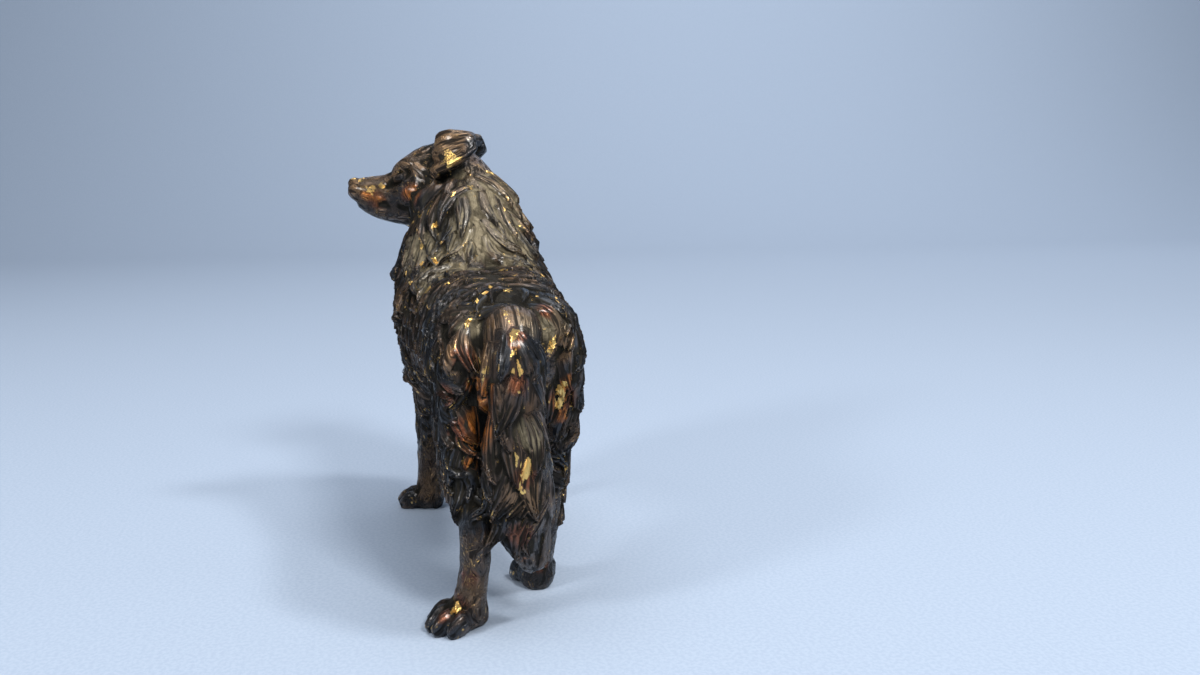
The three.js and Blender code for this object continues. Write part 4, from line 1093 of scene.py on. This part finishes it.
# How a noise breaks up a mask: what it is multiplied by where the noise is 0 and where it is 1
BREAKS = {
    "dusted": (0.5, 1.5),
    "russet": (0.1, 1.6),
    "amber": (0.0, 1.7),
    "dust": (0.3, 1.2),
    "clean_to_dusted": (0.05, 0.75),
    "flecks": (-0.3, 1.6),
    "chips": (-0.4, 2.2),
}
CLOUD_SHARE, WISP_SHARE = 0.6, 0.4  # how much each noise counts in where the patina is brown
RUBBED_AND_LIT_MOST = 0.7  # the most that the rubbed bronze with its painted highlight shows
FILM = 0.45  # the most that the dust's thin film shows
SHADE_BETWEEN_STRANDS = 0.9  # how dark the painted shade between the strands is
MATT, POLISH = 0.40, 0.18  # roughness of the patina, from grain to grain
# roughness where the painted shade lies, and of the worn gold
SHADED_ROUGHNESS, GOLD_ROUGHNESS = 0.65, 0.28
SHINE, SHADED_SHINE = 0.5, 0.1  # specular level of the patina and of the painted shade
# metalness where the painted shade lies
SHADED_METAL = 0.1
HAIR_BUMP, GRAIN_BUMP = 0.8, 0.2  # shares of the two in the height of the bump
BUMP_STRENGTH, BUMP_DEPTH = 0.9, 0.0012


def patinated_bronze():
    """Dark patina over bright bronze, combed into fine hair.

    It is worn through to bronze on edges and spots and dusty in the hollows. Its edges and some
    spots are lighter, partly rubbed bronze and partly a painted highlight, and painted shade makes it
    near-black between the hairs and in the grooves. Every mask is a smooth step of a noise or of one
    of the masks that `paint` made.
    """
    material, tree, shader = surface("patinated_bronze")

    def product(a, b):
        return calc(tree, "MULTIPLY", a, b)

    def highest(a, b):
        return calc(tree, "MAXIMUM", a, b)

    def step(name, source):
        return fade(tree, source, *FADES[name])

    def breaks(name, source):
        return blend(tree, source, *BREAKS[name])

    edge, groove, hollow = (attribute(tree, name) for name in ("edge", "groove", "hollow"))
    worn, rubbed_and_lit, russet, amber, dusty = (attribute(tree, name) for name in SPOTS)
    where = tree.nodes.new("ShaderNodeTexCoord").outputs["Object"]
    in_hair = attribute(tree, "comb", "Vector")
    clouds, patches, grain, flecks, chips = (noise(tree, where, *row) for row in NOISES.values())
    strands, wisps = (noise(tree, in_hair, *row) for row in HAIR_NOISES.values())

    browned = calc(tree, "ADD", product(clouds, CLOUD_SHARE), product(wisps, WISP_SHARE))
    colour = blend(tree, step("browned", browned), BLUE_BLACK, BROWN_BLACK)
    # lighter on proud edges and spots: rubbed bronze, and a painted highlight that stands in for light on
    # the raised strands
    high = highest(product(step("proud", edge), step("broken", patches)), step("rubbed_and_lit", rubbed_and_lit))
    colour = blend(tree, product(high, RUBBED_AND_LIT_MOST), colour, RUBBED_AND_LIT_BRONZE)
    dusted = step("dusted", product(dusty, breaks("dusted", wisps)))
    colour = blend(tree, product(dusted, FILM), colour, OLIVE)
    colour = blend(tree, step("russet", product(russet, breaks("russet", patches))), colour, RUSSET)
    colour = blend(tree, step("amber", product(amber, breaks("amber", patches))), colour, AMBER)

    # painted shade: near-black between the strands and in the grooves, where shade falls; `deep` carries it
    deep = highest(product(step("between", strands), SHADE_BETWEEN_STRANDS), step("shaded_groove", groove))
    colour = blend(tree, deep, colour, PAINTED_SHADE_BLACK)
    dust = highest(step("dusty_hollow", hollow), step("dusty_groove", groove))
    dust = product(product(dust, breaks("dust", grain)), breaks("clean_to_dusted", dusted))
    colour = blend(tree, dust, colour, DUST)

    crest = highest(step("edge_crest", edge), step("strand_crest", strands))
    rubbed = product(product(crest, step("flecked", flecks)), step("patchy", patches))
    ragged = product(breaks("flecks", flecks), breaks("chips", chips))
    gold = highest(rubbed, step("flake", product(worn, ragged)))
    wire(tree, blend(tree, gold, colour, GOLD), shader, "Base Color")

    # where the painted shade lies the finish is rougher, less shiny and less metallic, without wax
    rough = blend(tree, deep, blend(tree, grain, POLISH, MATT), SHADED_ROUGHNESS)
    wire(tree, blend(tree, gold, rough, GOLD_ROUGHNESS), shader, "Roughness")
    wire(tree, blend(tree, gold, blend(tree, deep, PATINA_METAL, SHADED_METAL), 1.0), shader, "Metallic")
    wire(tree, blend(tree, deep, SHINE, SHADED_SHINE), shader, "Specular IOR Level")
    wire(tree, blend(tree, deep, WAX, 0.0), shader, "Coat Weight")
    wire(tree, WAX_ROUGHNESS, shader, "Coat Roughness")
    bump = tree.nodes.new("ShaderNodeBump")
    wire(tree, BUMP_STRENGTH, bump, "Strength")
    wire(tree, BUMP_DEPTH, bump, "Distance")
    wire(tree, calc(tree, "ADD", product(strands, HAIR_BUMP), product(grain, GRAIN_BUMP)), bump, "Height")
    wire(tree, bump.outputs[0], shader, "Normal")
    return material


FLOOR_BACK, FLOOR_AHEAD, FLOOR_SIDE = 2500, 900, 3500  # how far the floor runs, in parts
COVE, WALL = 900, 4000  # radius of its curve up, and height of the backdrop, in parts
COVE_ROWS = 40  # points on the curve
FLOOR_COLOUR = (0.31, 0.373, 0.47, 1)
FLOOR_SHADE = (0.28, 0.343, 0.44, 1)
FLOOR_ROUGHNESS = 0.9
SPECKLE = (1300, 2, 0.55)  # its noise: waves to the metre, detail and roughness
SPECKLE_FADE = (0.35, 0.65)


def stage():
    """A plain pale floor that curves up into a backdrop ahead of the figure.

    Its profile runs level, then as a quarter circle, then straight up, and is carried sideways.
    """
    bend = np.radians(np.linspace(0, 90, COVE_ROWS))
    ahead = np.concatenate([[-FLOOR_BACK], FLOOR_AHEAD + COVE * np.sin(bend), [FLOOR_AHEAD + COVE]])
    height = np.concatenate([[0], COVE * (1 - np.cos(bend)), [WALL]])
    sides = np.tile([-FLOOR_SIDE, FLOOR_SIDE], len(ahead))
    grid = np.stack([np.repeat(ahead, 2), sides, np.repeat(height, 2)], 1)
    n = 2 * np.arange(len(ahead) - 1)
    floor = mesh_object("floor", in_metres(grid), np.stack([n, n + 2, n + 3, n + 1], 1))
    material, tree, shader = surface("pale_floor")
    where = tree.nodes.new("ShaderNodeTexCoord").outputs["Object"]
    speckle = fade(tree, noise(tree, where, *SPECKLE), *SPECKLE_FADE)
    wire(tree, blend(tree, speckle, FLOOR_SHADE, FLOOR_COLOUR), shader, "Base Color")
    wire(tree, FLOOR_ROUGHNESS, shader, "Roughness")
    floor.data.materials.append(material)


WARM = (1, 0.97, 0.93)
LIGHTS = {
    "overhead": {"at": (-60, 60, 900), "size": 800, "power": 6},
    "left": {"at": (-350, 600, 420), "size": 130, "power": 3, "colour": WARM},
    "behind_camera": {"at": (-600, -200, 600), "size": 150, "power": 5.5, "colour": WARM},
    "high_right": {"at": (-250, -350, 700), "size": 100, "power": 3.2, "colour": WARM},
    "backdrop": {"at": (500, -700, 1500), "size": 1200, "power": 33, "target": (1800, -900, 900)},
}
SKY = (0.50, 0.60, 0.74, 1)
SKY_STRENGTH = 0.3
CAMERA_AT = (-225.0, 30.0, 83.3)  # in parts
CAMERA_TURN = 14.0  # degrees to the dog's right of the way the trunk points
CAMERA_DIP = 8.8  # degrees below level
CAMERA_LENS = 31.2  # focal length in millimetres, on a film 36 wide


def soft_light(name, at, size, power, colour=(1, 1, 1), target=(*MIDDLE, 50)):
    """An area light, placed in parts and aimed at the figure or at another target."""
    data = bpy.data.lights.new(name, "AREA")
    data.size = size * PART
    data.energy = power
    data.color = colour
    light = bpy.data.objects.new(name, data)
    target = Vector(in_metres(np.array(target, float)))
    light.location = Vector(in_metres(np.array(at, float)))
    light.rotation_euler = (target - light.location).to_track_quat("-Z", "Y").to_euler()
    bpy.context.scene.collection.objects.link(light)


def camera():
    """Looks along the trunk from behind, a little from the dog's left, slightly downwards."""
    data = bpy.data.cameras.new("camera")
    data.lens = CAMERA_LENS
    data.sensor_width = 36
    data.clip_start = 0.01
    made = bpy.data.objects.new("camera", data)
    made.location = Vector(in_metres(np.array(CAMERA_AT)))
    turn, dip = np.radians(CAMERA_TURN), np.radians(CAMERA_DIP)
    look = Vector((np.cos(turn) * np.cos(dip), -np.sin(turn) * np.cos(dip), -np.sin(dip)))
    made.rotation_euler = look.to_track_quat("-Z", "Y").to_euler()
    bpy.context.scene.collection.objects.link(made)
    bpy.context.scene.camera = made


points, quads = skin()
dog = mesh_object("dog_casting", in_metres(points), quads)
thinned(dog, TRIANGLES)
paint(dog)
dog.data.materials.append(patinated_bronze())
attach(dog, "root")
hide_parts("dog_figure")

stage()
for name, light in LIGHTS.items():
    soft_light(name, **light)
world = bpy.data.worlds.new("studio")
world.use_nodes = True
world.node_tree.nodes["Background"].inputs["Color"].default_value = SKY
world.node_tree.nodes["Background"].inputs["Strength"].default_value = SKY_STRENGTH
bpy.context.scene.world = world
camera()
bpy.context.scene.view_settings.view_transform = "Standard"
